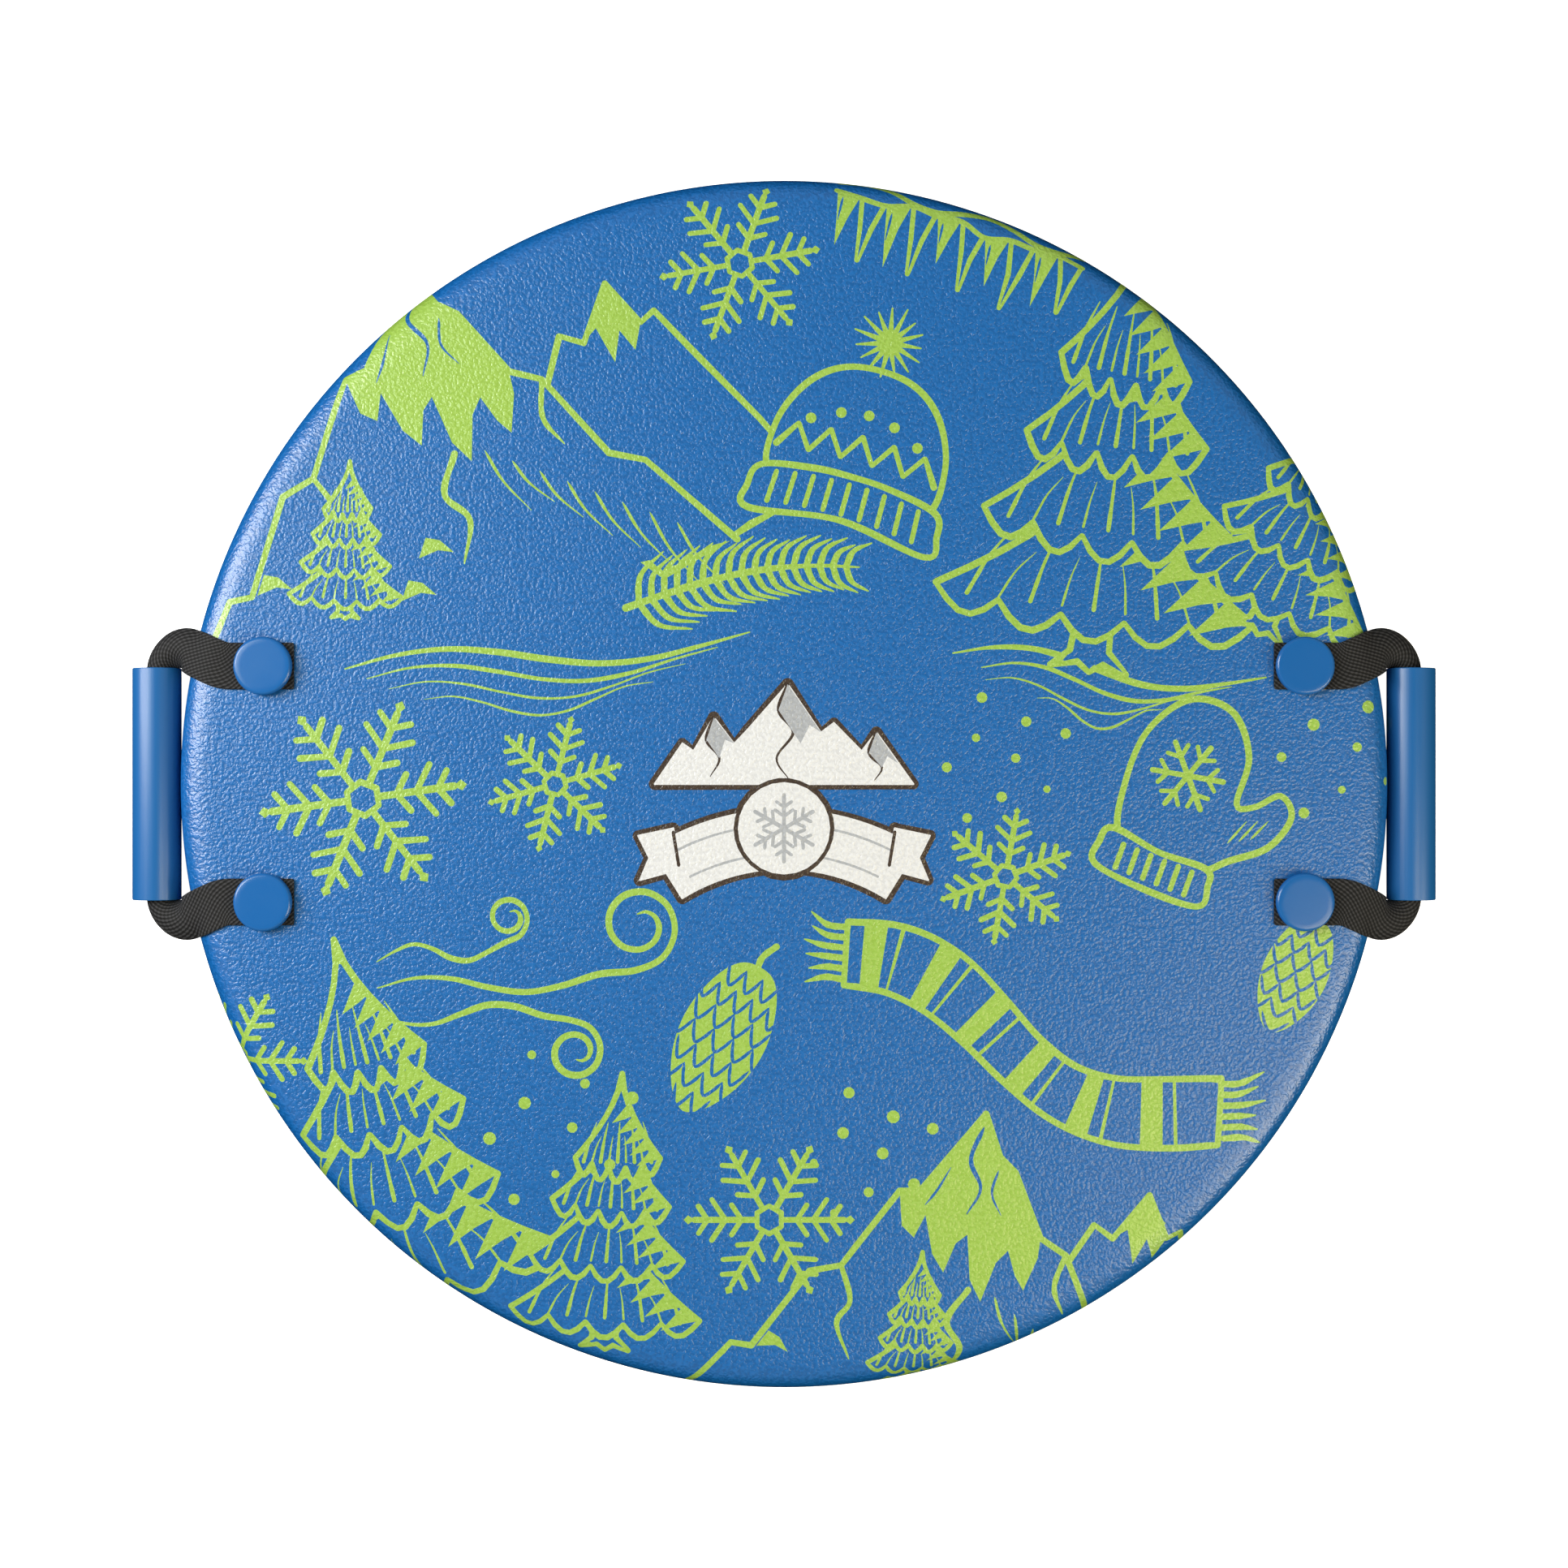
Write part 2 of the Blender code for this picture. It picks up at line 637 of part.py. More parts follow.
def build_tubes(material, loops):
    """The two grip tubes, each on its own axis and hung on its loop."""
    mesh = tube_mesh()
    for side, turn in SIDES:
        place = (TUBE_X * math.cos(turn), 0, TUBE_Z)
        tube = add_object("grip_tube_" + side, mesh, PARTS, material, place, (math.pi / 2, 0, 0))
        turn_profile(tube, TUBE_STEPS)
        bpy.context.view_layer.update()
        loop = loops[side]
        tube.parent = loop
        tube.matrix_parent_inverse = loop.matrix_world.inverted()


def build_sled():
    """Builds every piece of the sled."""
    skin = build_skin(make_material("printed polyethylene skin", "3A74B4", 0.42))
    core = build_core(make_material("expanded polyethylene foam", "E9EDF0", 0.85))
    slick = build_slick(make_material("slick polyethylene sheet", "2458A0", 0.28))
    cut_fastener_holes(skin, core, slick)
    button_material = make_material("moulded polypropylene", "3A7CBE", 0.36)
    plug_material = make_material("moulded polypropylene plug", "2F6AAE", 0.40)
    build_fasteners(button_material, plug_material)
    webbing = make_material("polypropylene webbing", "2B2B2D", 0.80)
    build_tabs(webbing)
    loops = build_loops(webbing)
    build_tubes(make_material("extruded polyethylene tube", "4079BA", 0.32), loops)
    keep_flats_flat()


clear_scene()
PARTS = new_collection("foam snow sled")
CUTTERS = new_collection("cutters")
build_sled()
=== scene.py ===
"""Looks of the round foam snow sled: printed skin, foam, slick sheet, buttons and handles.

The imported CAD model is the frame. Every piece is in metres in that frame, with +Z up, +Y the front
of the sled and +X the rider's right. Round pieces are turned again with finer steps than the CAD's,
the print is cut into the skin's own mesh, and each strap is one unbroken length of webbing.
"""

from __future__ import annotations

import json
import logging
import math
import random
from collections.abc import Sequence
from dataclasses import dataclass, field
from enum import Enum
from typing import Any

import bmesh
import bpy
import numpy as np
from bpy.types import Material, Mesh, Node, NodeSocket, NodeTree, Object
from mathutils import Matrix, Vector
from mathutils.geometry import delaunay_2d_cdt

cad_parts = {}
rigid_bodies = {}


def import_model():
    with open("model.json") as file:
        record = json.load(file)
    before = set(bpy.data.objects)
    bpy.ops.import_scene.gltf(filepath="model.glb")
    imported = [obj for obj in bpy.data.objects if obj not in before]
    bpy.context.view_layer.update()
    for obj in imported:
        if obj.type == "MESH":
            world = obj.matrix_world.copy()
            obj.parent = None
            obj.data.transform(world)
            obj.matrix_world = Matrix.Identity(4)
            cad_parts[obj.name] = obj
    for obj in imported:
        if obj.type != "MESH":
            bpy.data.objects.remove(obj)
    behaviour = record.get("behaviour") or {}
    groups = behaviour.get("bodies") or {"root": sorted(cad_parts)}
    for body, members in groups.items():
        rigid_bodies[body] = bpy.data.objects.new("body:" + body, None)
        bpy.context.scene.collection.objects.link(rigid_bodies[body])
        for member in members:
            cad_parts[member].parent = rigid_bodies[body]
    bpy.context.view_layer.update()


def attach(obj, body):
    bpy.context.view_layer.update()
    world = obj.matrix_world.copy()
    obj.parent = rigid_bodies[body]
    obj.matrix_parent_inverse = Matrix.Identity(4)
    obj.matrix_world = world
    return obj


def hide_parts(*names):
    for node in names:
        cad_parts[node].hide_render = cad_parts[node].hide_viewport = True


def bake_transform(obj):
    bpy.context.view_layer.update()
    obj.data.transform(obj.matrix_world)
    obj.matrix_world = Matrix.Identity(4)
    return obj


LOG = logging.getLogger("foam_snow_sled")

MM = 0.001

# Widths of the print's lines on the film, in millimetres
LINE_MM, MIDDLE_LINE_MM, FINE_LINE_MM = 3.6, 2.4, 1.4
# Where a line turns more than this, in radians, its outer side gets another point
ROUND_TURN = 0.35
# Points of the film's plan closer than this are one point
WELD_MM = 0.004
# The film leaves out the triangles whose middle lies this near its end, in millimetres, or within
# this share of a hole's radius
END_TRIM_MM, HOLE_TRIM = 0.02, 0.995
# Edges sharper than this stay sharp where a mesh is shaded smooth
SHARP_EDGE_DEG = 38.0
# A colour mix takes its factor at socket 0 and its colours at 6 and 7, and gives the mix at 2
COLOUR_MIX = {"out": 2, "data_type": "RGBA"}

Point = tuple[float, float] | Vector


class Side(Enum):
    """The two handles, by the sign of their place along X."""

    RIGHT = 1
    LEFT = -1


class Ink(Enum):
    """The inks of the print, as sRGB hex. Film is the blue that the others are printed on."""

    FILM = "0E60A8"
    LIME = "96BC4D"
    WHITE = "D9DBDF"
    SILVER = "A6AAB1"
    CHARCOAL = "3B2E26"


# Each ink's paler tone, a painted glint on the pebbles' high points, and its darker tone, painted
# shade in the creases
GRAIN_GLINT_AND_SHADE = {
    Ink.FILM: ("1E6CB8", "0C5090"),
    Ink.LIME: ("A0C25F", "87AB3D"),
    Ink.WHITE: ("E4E6E9", "C9CBD0"),
    Ink.SILVER: ("B2B6BC", "989CA3"),
    Ink.CHARCOAL: ("463830", "2E241D"),
}


class Motif(Enum):
    """The drawings that the print is made of, each named for the pen's method that draws it."""

    PINE = "pine"
    PEAK = "peak"
    FLAKE = "flake"
    WIND = "wind"
    ICICLES = "icicles"
    SPRIG = "sprig"
    CONE = "cone"
    MITTEN = "mitten"
    HAT = "hat"
    SCARF = "scarf"
    DRIFT = "drift"
    DOTS = "dots"
    BADGE = "badge"


def linear(hex_colour: str) -> tuple[float, float, float, float]:
    """Turns an sRGB hex colour to linear light with full alpha.

    Args:
        hex_colour: six hex digits, such as 3A73B5.

    Returns:
        Red, green, blue and alpha from 0 to 1.
    """
    channels = [int(hex_colour[i : i + 2], 16) / 255 for i in (0, 2, 4)]
    lit = [c / 12.92 if c <= 0.04045 else ((c + 0.055) / 1.055) ** 2.4 for c in channels]
    return (*lit, 1.0)


def feed(node: Node, inputs: dict[str | int, Any]) -> None:
    """Fills a node's inputs.

    Args:
        node: the node.
        inputs: for each input's name or number, its value or the output that feeds it.
    """
    for key, value in inputs.items():
        if isinstance(value, NodeSocket):
            node.id_data.links.new(value, node.inputs[key])
        else:
            node.inputs[key].default_value = value


def add_node(
    tree: NodeTree, kind: str, inputs: dict[str | int, Any], out: str | int = 0, **settings: Any
) -> NodeSocket:
    """Adds a node with its settings and links.

    Args:
        tree: the node tree that it goes into.
        kind: the node's type after ShaderNode, such as Bump.
        inputs: for each input's name or number, its value or the output that feeds it.
        out: the name or number of the output that is used.
        **settings: the node's own properties.

    Returns:
        That output.
    """
    node = tree.nodes.new("ShaderNode" + kind)
    for name, value in settings.items():
        setattr(node, name, value)
    feed(node, inputs)
    return node.outputs[out]


def new_material(
    name: str, colour: str, roughness: float, ior: float
) -> tuple[Material, NodeTree, Node]:
    """Makes a Principled material whose sockets hold the finish's plain values.

    Args:
        name: the material's name.
        colour: sRGB hex of its base colour.
        roughness: its roughness from 0 to 1.
        ior: its index of refraction.

    Returns:
        The material, its node tree and its shader.
    """
    material = bpy.data.materials.new(name)
    material.use_nodes = True
    shader = material.node_tree.nodes["Principled BSDF"]
    feed(shader, {"Base Color": linear(colour), "Roughness": roughness, "IOR": ior})
    return material, material.node_tree, shader


@dataclass(frozen=True)
class PrintedFilm:
    """Polyethylene film, gravure printed on its back and embossed with a leather grain.

    The grain breaks the softboxes' reflections into small light specks, and the ink under the
    clear film stays even, so that lime and blue have the same gloss. Its colour also carries a
    painted glint on the pebbles' high points and painted shade in the creases between them.
    """

    ink: Ink
    roughness: float = 0.29
    ior: float = 1.51
    # The clear film over the ink adds a second face to the shine
    shine: float = 0.75
    # Real grain of 1.2 mm, drawn coarser so that it shows from the camera
    grain_mm: float = 1.9
    grain_depth_mm: float = 0.17
    sag_mm: float = 75.0
    sag_depth_mm: float = 0.35
    # How much of the paler tone, a painted glint, the highest grain shows, and of the darker tone,
    # painted shade, the lowest grain shows
    painted_light_share: float = 0.5

    def build(self) -> Material:
        """Makes the material of one ink.

        Returns:
            The material.
        """
        name = f"printed polyethylene film, {self.ink.name.lower()}"
        material, tree, shader = new_material(name, self.ink.value, self.roughness, self.ior)
        # pale holds the tone of the painted glint, and dark the tone of the painted shade
        base, pale, dark = map(linear, (self.ink.value, *GRAIN_GLINT_AND_SHADE[self.ink]))
        place = add_node(tree, "TexCoord", {}, "Object")
        fine = {"Scale": 1 / (self.grain_mm * MM), "Detail": 1.0, "Distortion": 0.3}
        pebbles = add_node(tree, "TexNoise", {"Vector": place, **fine})
        ends = {1: 0.3, 2: 0.7}
        height = add_node(tree, "MapRange", {0: pebbles, **ends}, interpolation_type="SMOOTHSTEP")
        wide = {"Scale": 1 / (self.sag_mm * MM), "Detail": 1.0}
        sag = add_node(tree, "TexNoise", {"Vector": place, **wide})
        slack = add_node(tree, "Bump", {"Height": sag, "Distance": self.sag_depth_mm * MM})
        relief = {"Height": height, "Distance": self.grain_depth_mm * MM, "Normal": slack}
        # The pebbles' high points get the paler tone as a painted glint, and the creases between
        # them the darker tone as painted shade
        tops = add_node(tree, "MapRange", {0: height, 1: 0.5, 4: self.painted_light_share})
        low = add_node(tree, "MapRange", {0: height, 2: 0.5, 3: self.painted_light_share, 4: 0.0})
        glint_painted = add_node(tree, "Mix", {0: tops, 6: base, 7: pale}, **COLOUR_MIX)
        colour = add_node(tree, "Mix", {0: low, 6: glint_painted, 7: dark}, **COLOUR_MIX)
        grain = add_node(tree, "Bump", relief)
        feed(shader, {"Specular IOR Level": self.shine, "Normal": grain, "Base Color": colour})
        return material


@dataclass(frozen=True)
class BeadFoam:
    """Expanded polyethylene bead foam, steam moulded.

    Pressed beads meet in shallow creases, painted darker as shade, and the closed cells scatter
    light like fine frost.
    """

    colour: str = "E9EDF0"
    crease_shade_colour: str = "CBD3DA"
    roughness: float = 0.85
    ior: float = 1.5
    sheen: float = 0.15
    bead_mm: float = 3.6
    crease_share: float = 0.16
    crease_depth_mm: float = 0.35

    def build(self) -> Material:
        """Makes the foam's material.

        Returns:
            The material.
        """
        name = "expanded polyethylene bead foam"
        material, tree, shader = new_material(name, self.colour, self.roughness, self.ior)
        place = add_node(tree, "TexCoord", {}, "Object")
        cells = {"Vector": place, "Scale": 1 / (self.bead_mm * MM)}
        beads = add_node(tree, "TexVoronoi", cells, feature="DISTANCE_TO_EDGE")
        edge = {0: beads, 2: self.crease_share}
        crease = add_node(tree, "MapRange", edge, interpolation_type="SMOOTHSTEP")
        relief = {"Height": crease, "Distance": self.crease_depth_mm * MM, "Strength": 0.8}
        # The creases between the beads are painted darker, as painted shade
        tones = {0: crease, 6: linear(self.crease_shade_colour), 7: linear(self.colour)}
        colour = add_node(tree, "Mix", tones, **COLOUR_MIX)
        bump = add_node(tree, "Bump", relief)
        feed(shader, {"Sheen Weight": self.sheen, "Normal": bump, "Base Color": colour})
        return material


@dataclass(frozen=True)
class SlickSheet:
    """High-density polyethylene sheet, calendered smooth and heat bonded to the foam.

    It shines evenly, and runs on snow have drawn faint scuffs along the way it travels.
    """

    colour: str = "2458A0"
    scuff_colour: str = "5C86BE"
    roughness: float = 0.26
    ior: float = 1.54
    scuff_width_mm: float = 1.6
    scuff_length_mm: float = 90.0
    scuff_depth_mm: float = 0.05

    def build(self) -> Material:
        """Makes the running sheet's material.

        Returns:
            The material.
        """
        name = "calendered polyethylene sheet"
        material, tree, shader = new_material(name, self.colour, self.roughness, self.ior)
        place = add_node(tree, "TexCoord", {}, "Object")
        drawn = (1 / (self.scuff_width_mm * MM), 1 / (self.scuff_length_mm * MM), 1.0)
        along = add_node(tree, "Mapping", {"Vector": place, "Scale": drawn})
        lines = add_node(tree, "TexNoise", {"Vector": along, "Scale": 1.0, "Detail": 3.0})
        scuffs = add_node(tree, "MapRange", {0: lines, 1: 0.58, 2: 0.78, 4: 0.55})
        tones = {0: scuffs, 6: linear(self.colour), 7: linear(self.scuff_colour)}
        colour = add_node(tree, "Mix", tones, **COLOUR_MIX)
        rough = add_node(tree, "MapRange", {0: lines, 1: 0.3, 2: 0.8, 3: 0.2, 4: 0.5})
        relief = {"Height": lines, "Distance": self.scuff_depth_mm * MM, "Strength": 0.5}
        bump = add_node(tree, "Bump", relief)
        feed(shader, {"Base Color": colour, "Roughness": rough, "Normal": bump})
        return material


@dataclass(frozen=True)
class MouldedPolypropylene:
    """Polypropylene, injection moulded in a fine-spark tool.

    The skin is satin with a very shallow orange peel, so its edge takes a soft bright line.
    """

    name: str
    colour: str = "1C61A6"
    roughness: float = 0.18
    ior: float = 1.49
    peel_mm: float = 1.8
    peel_depth_mm: float = 0.006
    flow_mm: float = 14.0
    flow_spread: float = 0.02
    shade: tuple[float, ...] = (0.93, 0.95, 0.98, 1)

    def build(self) -> Material:
        """Makes the moulded piece's material.

        Returns:
            The material.
        """
        material, tree, shader = new_material(self.name, self.colour, self.roughness, self.ior)
        place = add_node(tree, "TexCoord", {}, "Object")
        peel = add_node(tree, "TexNoise", {"Vector": place, "Scale": 1 / (self.peel_mm * MM)})
        flow = add_node(tree, "TexNoise", {"Vector": place, "Scale": 1 / (self.flow_mm * MM)})
        ends = {3: self.roughness - self.flow_spread, 4: self.roughness + self.flow_spread}
        rough = add_node(tree, "MapRange", {0: flow, 1: 0.3, 2: 0.7, **ends})
        bump = add_node(tree, "Bump", {"Height": peel, "Distance": self.peel_depth_mm * MM})
        tones = {0: peel, 6: linear(self.colour), 7: self.shade}
        tint = add_node(tree, "Mix", tones, blend_type="MULTIPLY", **COLOUR_MIX)
        feed(shader, {"Base Color": tint, "Roughness": rough, "Normal": bump})
        return material


@dataclass(frozen=True)
class ExtrudedTube:
    """Polyethylene tube, extruded through a polished die and cut to length.

    The die leaves faint lines along the tube, which stretch its highlight from end to end.
    """

    colour: str = "1D62A2"
    roughness: float = 0.33
    ior: float = 1.51
    line_mm: float = 0.9
    line_length: float = 90.0
    line_depth_mm: float = 0.012
    line_spread: float = 0.05
    shade: tuple[float, ...] = (0.90, 0.93, 0.97, 1)

    def build(self) -> Material:
        """Makes the grip tube's material.

        Returns:
            The material.
        """
        name = "extruded polyethylene tube"
        material, tree, shader = new_material(name, self.colour, self.roughness, self.ior)
        place = add_node(tree, "TexCoord", {}, "Object")
        across = 1 / (self.line_mm * MM)
        drawn = (across, across / self.line_length, across)
        along = add_node(tree, "Mapping", {"Vector": place, "Scale": drawn})
        lines = add_node(tree, "TexNoise", {"Vector": along, "Scale": 1.0})
        ends = {3: self.roughness - self.line_spread, 4: self.roughness + self.line_spread}
        rough = add_node(tree, "MapRange", {0: lines, 1: 0.3, 2: 0.7, **ends})
        bump = add_node(tree, "Bump", {"Height": lines, "Distance": self.line_depth_mm * MM})
        tones = {0: lines, 6: linear(self.colour), 7: self.shade}
        tint = add_node(tree, "Mix", tones, blend_type="MULTIPLY", **COLOUR_MIX)
        feed(shader, {"Base Color": tint, "Roughness": rough, "Normal": bump})
        return material


@dataclass(frozen=True)
class WovenWebbing:
    """Black polypropylene webbing, woven in a diagonal twill with a turned selvedge.

    Each float of yarn catches a grey glint, and the steps between them, painted near black as
    shade, read as slanting lines.
    """

    yarn_colour: str = "39393B"
    # The valleys between the yarn floats are painted near black, as painted shade
    valley_shade_colour: str = "030304"
    roughness: float = 0.72
    ior: float = 1.49
    shine: float = 0.3
    sheen: float = 0.04
    # Real twill of 1.4 mm, drawn coarser so that its lines show from the camera
    twill_mm: float = 1.8
    twill_deg: float = 52.0
    float_mm: float = 2.1
    fuzz_mm: float = 0.5
    relief_mm: float = 0.22
    map_name: str = "weave"

    def build(self) -> Material:
        """Makes the webbing's material, which reads the strap's own weave map.

        Returns:
            The material.
        """
        name = "woven polypropylene webbing"
        material, tree, shader = new_material(name, self.yarn_colour, self.roughness, self.ior)
        place = add_node(tree, "UVMap", {}, uv_map=self.map_name)
        slant = (0, 0, math.radians(self.twill_deg))
        turned = add_node(tree, "Mapping", {"Vector": place, "Rotation": slant})
        bands = []
        for way, wave_mm, wobble in (("X", self.twill_mm, 0.4), ("Y", self.float_mm, 0.5)):
            # One wave of Blender's bands is pi / 10 long at scale 1
            scale = math.pi / 10 / (wave_mm * MM)
            wave = {"Vector": turned, "Scale": scale, "Distortion": wobble}
            bands.append(add_node(tree, "TexWave", wave, "Fac", bands_direction=way))
        ribs, floats = bands
        yarn = {0: floats, 1: 0.5, 2: ribs}
        height = add_node(tree, "Math", yarn, operation="MULTIPLY_ADD")
        fuzz = add_node(tree, "TexNoise", {"Vector": place, "Scale": 1 / (self.fuzz_mm * MM)})
        rise = add_node(tree, "Math", {0: fuzz, 1: 0.3, 2: height}, operation="MULTIPLY_ADD")
        bump = add_node(tree, "Bump", {"Height": rise, "Distance": self.relief_mm * MM})
        # Where the weave is low, the yarn's colour gives way to the painted shade of the valleys
        shown = add_node(tree, "MapRange", {0: height, 1: 0.55, 2: 1.25})
        tones = {0: shown, 6: linear(self.valley_shade_colour), 7: linear(self.yarn_colour)}
        colour = add_node(tree, "Mix", tones, **COLOUR_MIX)
        feed(shader, {"Base Color": colour, "Normal": bump})
        feed(shader, {"Specular IOR Level": self.shine, "Sheen Weight": self.sheen})
        return material


@dataclass(frozen=True)
class PaperSweep:
    """White studio paper, matt, with a fine tooth that keeps it from looking like glass."""

    colour: str = "F6F6F6"
    roughness: float = 0.9
    ior: float = 1.45
    # Stands for the light behind translucent paper, and burns it out to white
    glow: float = 1.0
    tooth_scale: float = 900.0
    tooth_depth_mm: float = 0.05

    def build(self) -> Material:
        """Makes the floor's material.

        Returns:
            The material.
        """
        name = "matt studio paper"
        material, tree, shader = new_material(name, self.colour, self.roughness, self.ior)
        tooth = add_node(tree, "TexNoise", {"Scale": self.tooth_scale})
        bump = add_node(tree, "Bump", {"Height": tooth, "Distance": self.tooth_depth_mm * MM})
        glow = {"Emission Color": (1, 1, 1, 1), "Emission Strength": self.glow}
        feed(shader, {"Normal": bump, **glow})
        return material


def smooth_by_angle(mesh: Mesh) -> None:
    """Shades a mesh smooth apart from its sharp edges."""
    mesh.shade_smooth()
    mesh.set_sharp_from_angle(angle=math.radians(SHARP_EDGE_DEG))


def arc(
    centre: Point,
    start_deg: float,
    end_deg: float,
    steps: int,
    width: float,
    height: float | None = None,
    fullness: float = 2.0,
) -> list[Point]:
    """Points along part of an ellipse or of a fuller round, both ends included.

    Args:
        centre: the round's middle.
        start_deg: where the part starts.
        end_deg: where it ends.
        steps: how many equal turns it is cut into.
        width: the round's half axis along the first coordinate.
        height: its half axis along the second, if it isn't the same.
        fullness: the curve's power, 2 for an ellipse and more for a squarer round.

    Returns:
        The points in order.
    """
    height = width if height is None else height
    points = []
    for i in range(steps + 1):
        angle = math.radians(start_deg + (end_deg - start_deg) * i / steps)
        across, up = math.cos(angle), math.sin(angle)
        reach = (abs(across) ** fullness + abs(up) ** fullness) ** (-1 / fullness)
        points.append((centre[0] + width * reach * across, centre[1] + height * reach * up))
    return points


def turned_mesh(name: str, profile: Sequence[Point], steps: int, closed: bool = False) -> Mesh:
    """Turns a profile of (radius, height) points once round Z.

    Args:
        name: the mesh's name.
        profile: the points in order, in metres.
        steps: how many facets one turn has.
        closed: whether the last point joins the first.

    Returns:
        A closed mesh, shaded smooth by angle.
    """
    shape = bmesh.new()
    rings = []
    for radius, z in profile:
        # A point on the axis is one vertex, and not a ring
        turns = [2 * math.pi * i / steps for i in range(steps if radius > 0 else 1)]
        spots = [(radius * math.cos(turn), radius * math.sin(turn), z) for turn in turns]
        rings.append([shape.verts.new(spot) for spot in spots])
    if closed:
        rings.append(rings[0])
    for first, second in zip(rings, rings[1:]):
        for i in range(steps):
            j = (i + 1) % steps
            corners = [first[i % len(first)], first[j % len(first)]]
            corners += [second[j % len(second)], second[i % len(second)]]
            unlike = list(dict.fromkeys(corners))
            if len(unlike) > 2:
                shape.faces.new(unlike)
    mesh = bpy.data.meshes.new(name)
    face_outwards(shape, mesh)
    smooth_by_angle(mesh)
    return mesh


def face_outwards(shape: bmesh.types.BMesh, mesh: Mesh) -> None:
    """Turns a closed shape's faces outwards and writes it to a mesh.

    Args:
        shape: the shape, which is freed.
        mesh: the mesh that takes it.
    """
    bmesh.ops.recalc_face_normals(shape, faces=shape.faces)
    shape.to_mesh(mesh)
    shape.free()


def add_piece(name: str, mesh: Mesh, *materials: Material) -> Object:
    """Adds a mesh to the scene as one named piece.

    Args:
        name: the piece's name.
        mesh: its mesh, in metres in the row frame.
        *materials: the materials of its slots, in order.

    Returns:
        The new object.
    """
    for material in materials:
        mesh.materials.append(material)
    piece = bpy.data.objects.new(name, mesh)
    bpy.context.scene.collection.objects.link(piece)
    return piece


def cut_out(piece: Object, cutter: Mesh, places: Sequence[Vector]) -> None:
    """Cuts a shape out of a piece at several places, and shades the result again.

    Args:
        piece: the piece to cut.
        cutter: the shape.
        places: where the shape's origin goes.
    """
    tools = []
    for place in places:
        tool = add_piece("cutter", cutter)
        tool.location = place
        tools.append(tool)
        modifier = piece.modifiers.new("cut", "BOOLEAN")
        modifier.operation, modifier.object = "DIFFERENCE", tool
    graph = bpy.context.evaluated_depsgraph_get()
    mesh = bpy.data.meshes.new_from_object(piece.evaluated_get(graph))
    piece.modifiers.clear()
    mesh.name, piece.data = piece.data.name, mesh
    for tool in tools:
        bpy.data.objects.remove(tool)
    smooth_by_angle(mesh)


@dataclass(frozen=True)
class Mark:
    """One inked shape in millimetres on the flat film: a stroke, or a filled patch without half."""

    ink: Ink
    line: np.ndarray
    half: np.ndarray | None = None

    def beside(self, i: int, angle: float) -> Point:
        """The place half a width away from one of the line's points, at an angle."""
        (x, y), half = self.line[i], self.half[i]
        return (x + half * math.cos(angle), y + half * math.sin(angle))

    def outline(self) -> list[Point]:
        """The closed outline of the shape, with round ends and round outer corners.

        Returns:
            The outline's points in order.
        """
        if self.half is None:
            return [tuple(point) for point in self.line]
        ways = np.diff(self.line, axis=0)
        ways /= np.maximum(np.linalg.norm(ways, axis=1, keepdims=True), 1e-9)
        headings = np.unwrap(np.arctan2(ways[:, 1], ways[:, 0]))
        sides = {1: [], -1: []}
        for sign, side in sides.items():
            for i in range(len(self.line)):
                before = headings[max(i - 1, 0)]
                turn = headings[min(i, len(headings) - 1)] - before
                steps = 1 + int(abs(turn) / ROUND_TURN) if turn * sign < 0 else 1
                for k in range(steps):
                    heading = before + turn * (k + 0.5) / steps
                    side.append(self.beside(i, heading + sign * math.pi / 2))
        steps = 5 if self.half.max() > 1 else 3
        swings = [math.pi / 2 - math.pi * k / steps for k in range(1, steps)]
        far = [self.beside(-1, headings[-1] + swing) for swing in swings]
        near = [self.beside(0, headings[0] + math.pi + swing) for swing in swings]
        return sides[1] + far + sides[-1][::-1] + near

    def covers(self, spots: np.ndarray) -> np.ndarray:
        """Says which spots lie in the shape.

        Args:
            spots: an array of points, one a row.

        Returns:
            True or False for each spot.
        """
        edge = 0.0 if self.half is None else float(self.half.max())
        low, high = self.line.min(0) - edge, self.line.max(0) + edge
        near = np.flatnonzero(((spots > low) & (spots < high)).all(axis=1))
        inside = np.zeros(len(spots), bool)
        x, y = spots[near, 0][:, None], spots[near, 1][:, None]
        if self.half is None:
            ax, ay = self.line[:, 0], self.line[:, 1]
            bx, by = np.roll(ax, -1), np.roll(ay, -1)
            spans = (ay > y) != (by > y)
            rise = np.where(by == ay, 1e-12, by - ay)
            crossings = spans & (x < (bx - ax) * (y - ay) / rise + ax)
            inside[near] = crossings.sum(axis=1) % 2 == 1
            return inside
        a, way = self.line[:-1], np.diff(self.line, axis=0)
        length = np.maximum((way**2).sum(axis=1), 1e-9)
        along = ((x - a[:, 0]) * way[:, 0] + (y - a[:, 1]) * way[:, 1]) / length
        along = np.clip(along, 0, 1)
        away = np.hypot(x - a[:, 0] - along * way[:, 0], y - a[:, 1] - along * way[:, 1])
        reach = self.half[:-1] + along * np.diff(self.half)
        inside[near] = (away < reach).any(axis=1)
        return inside


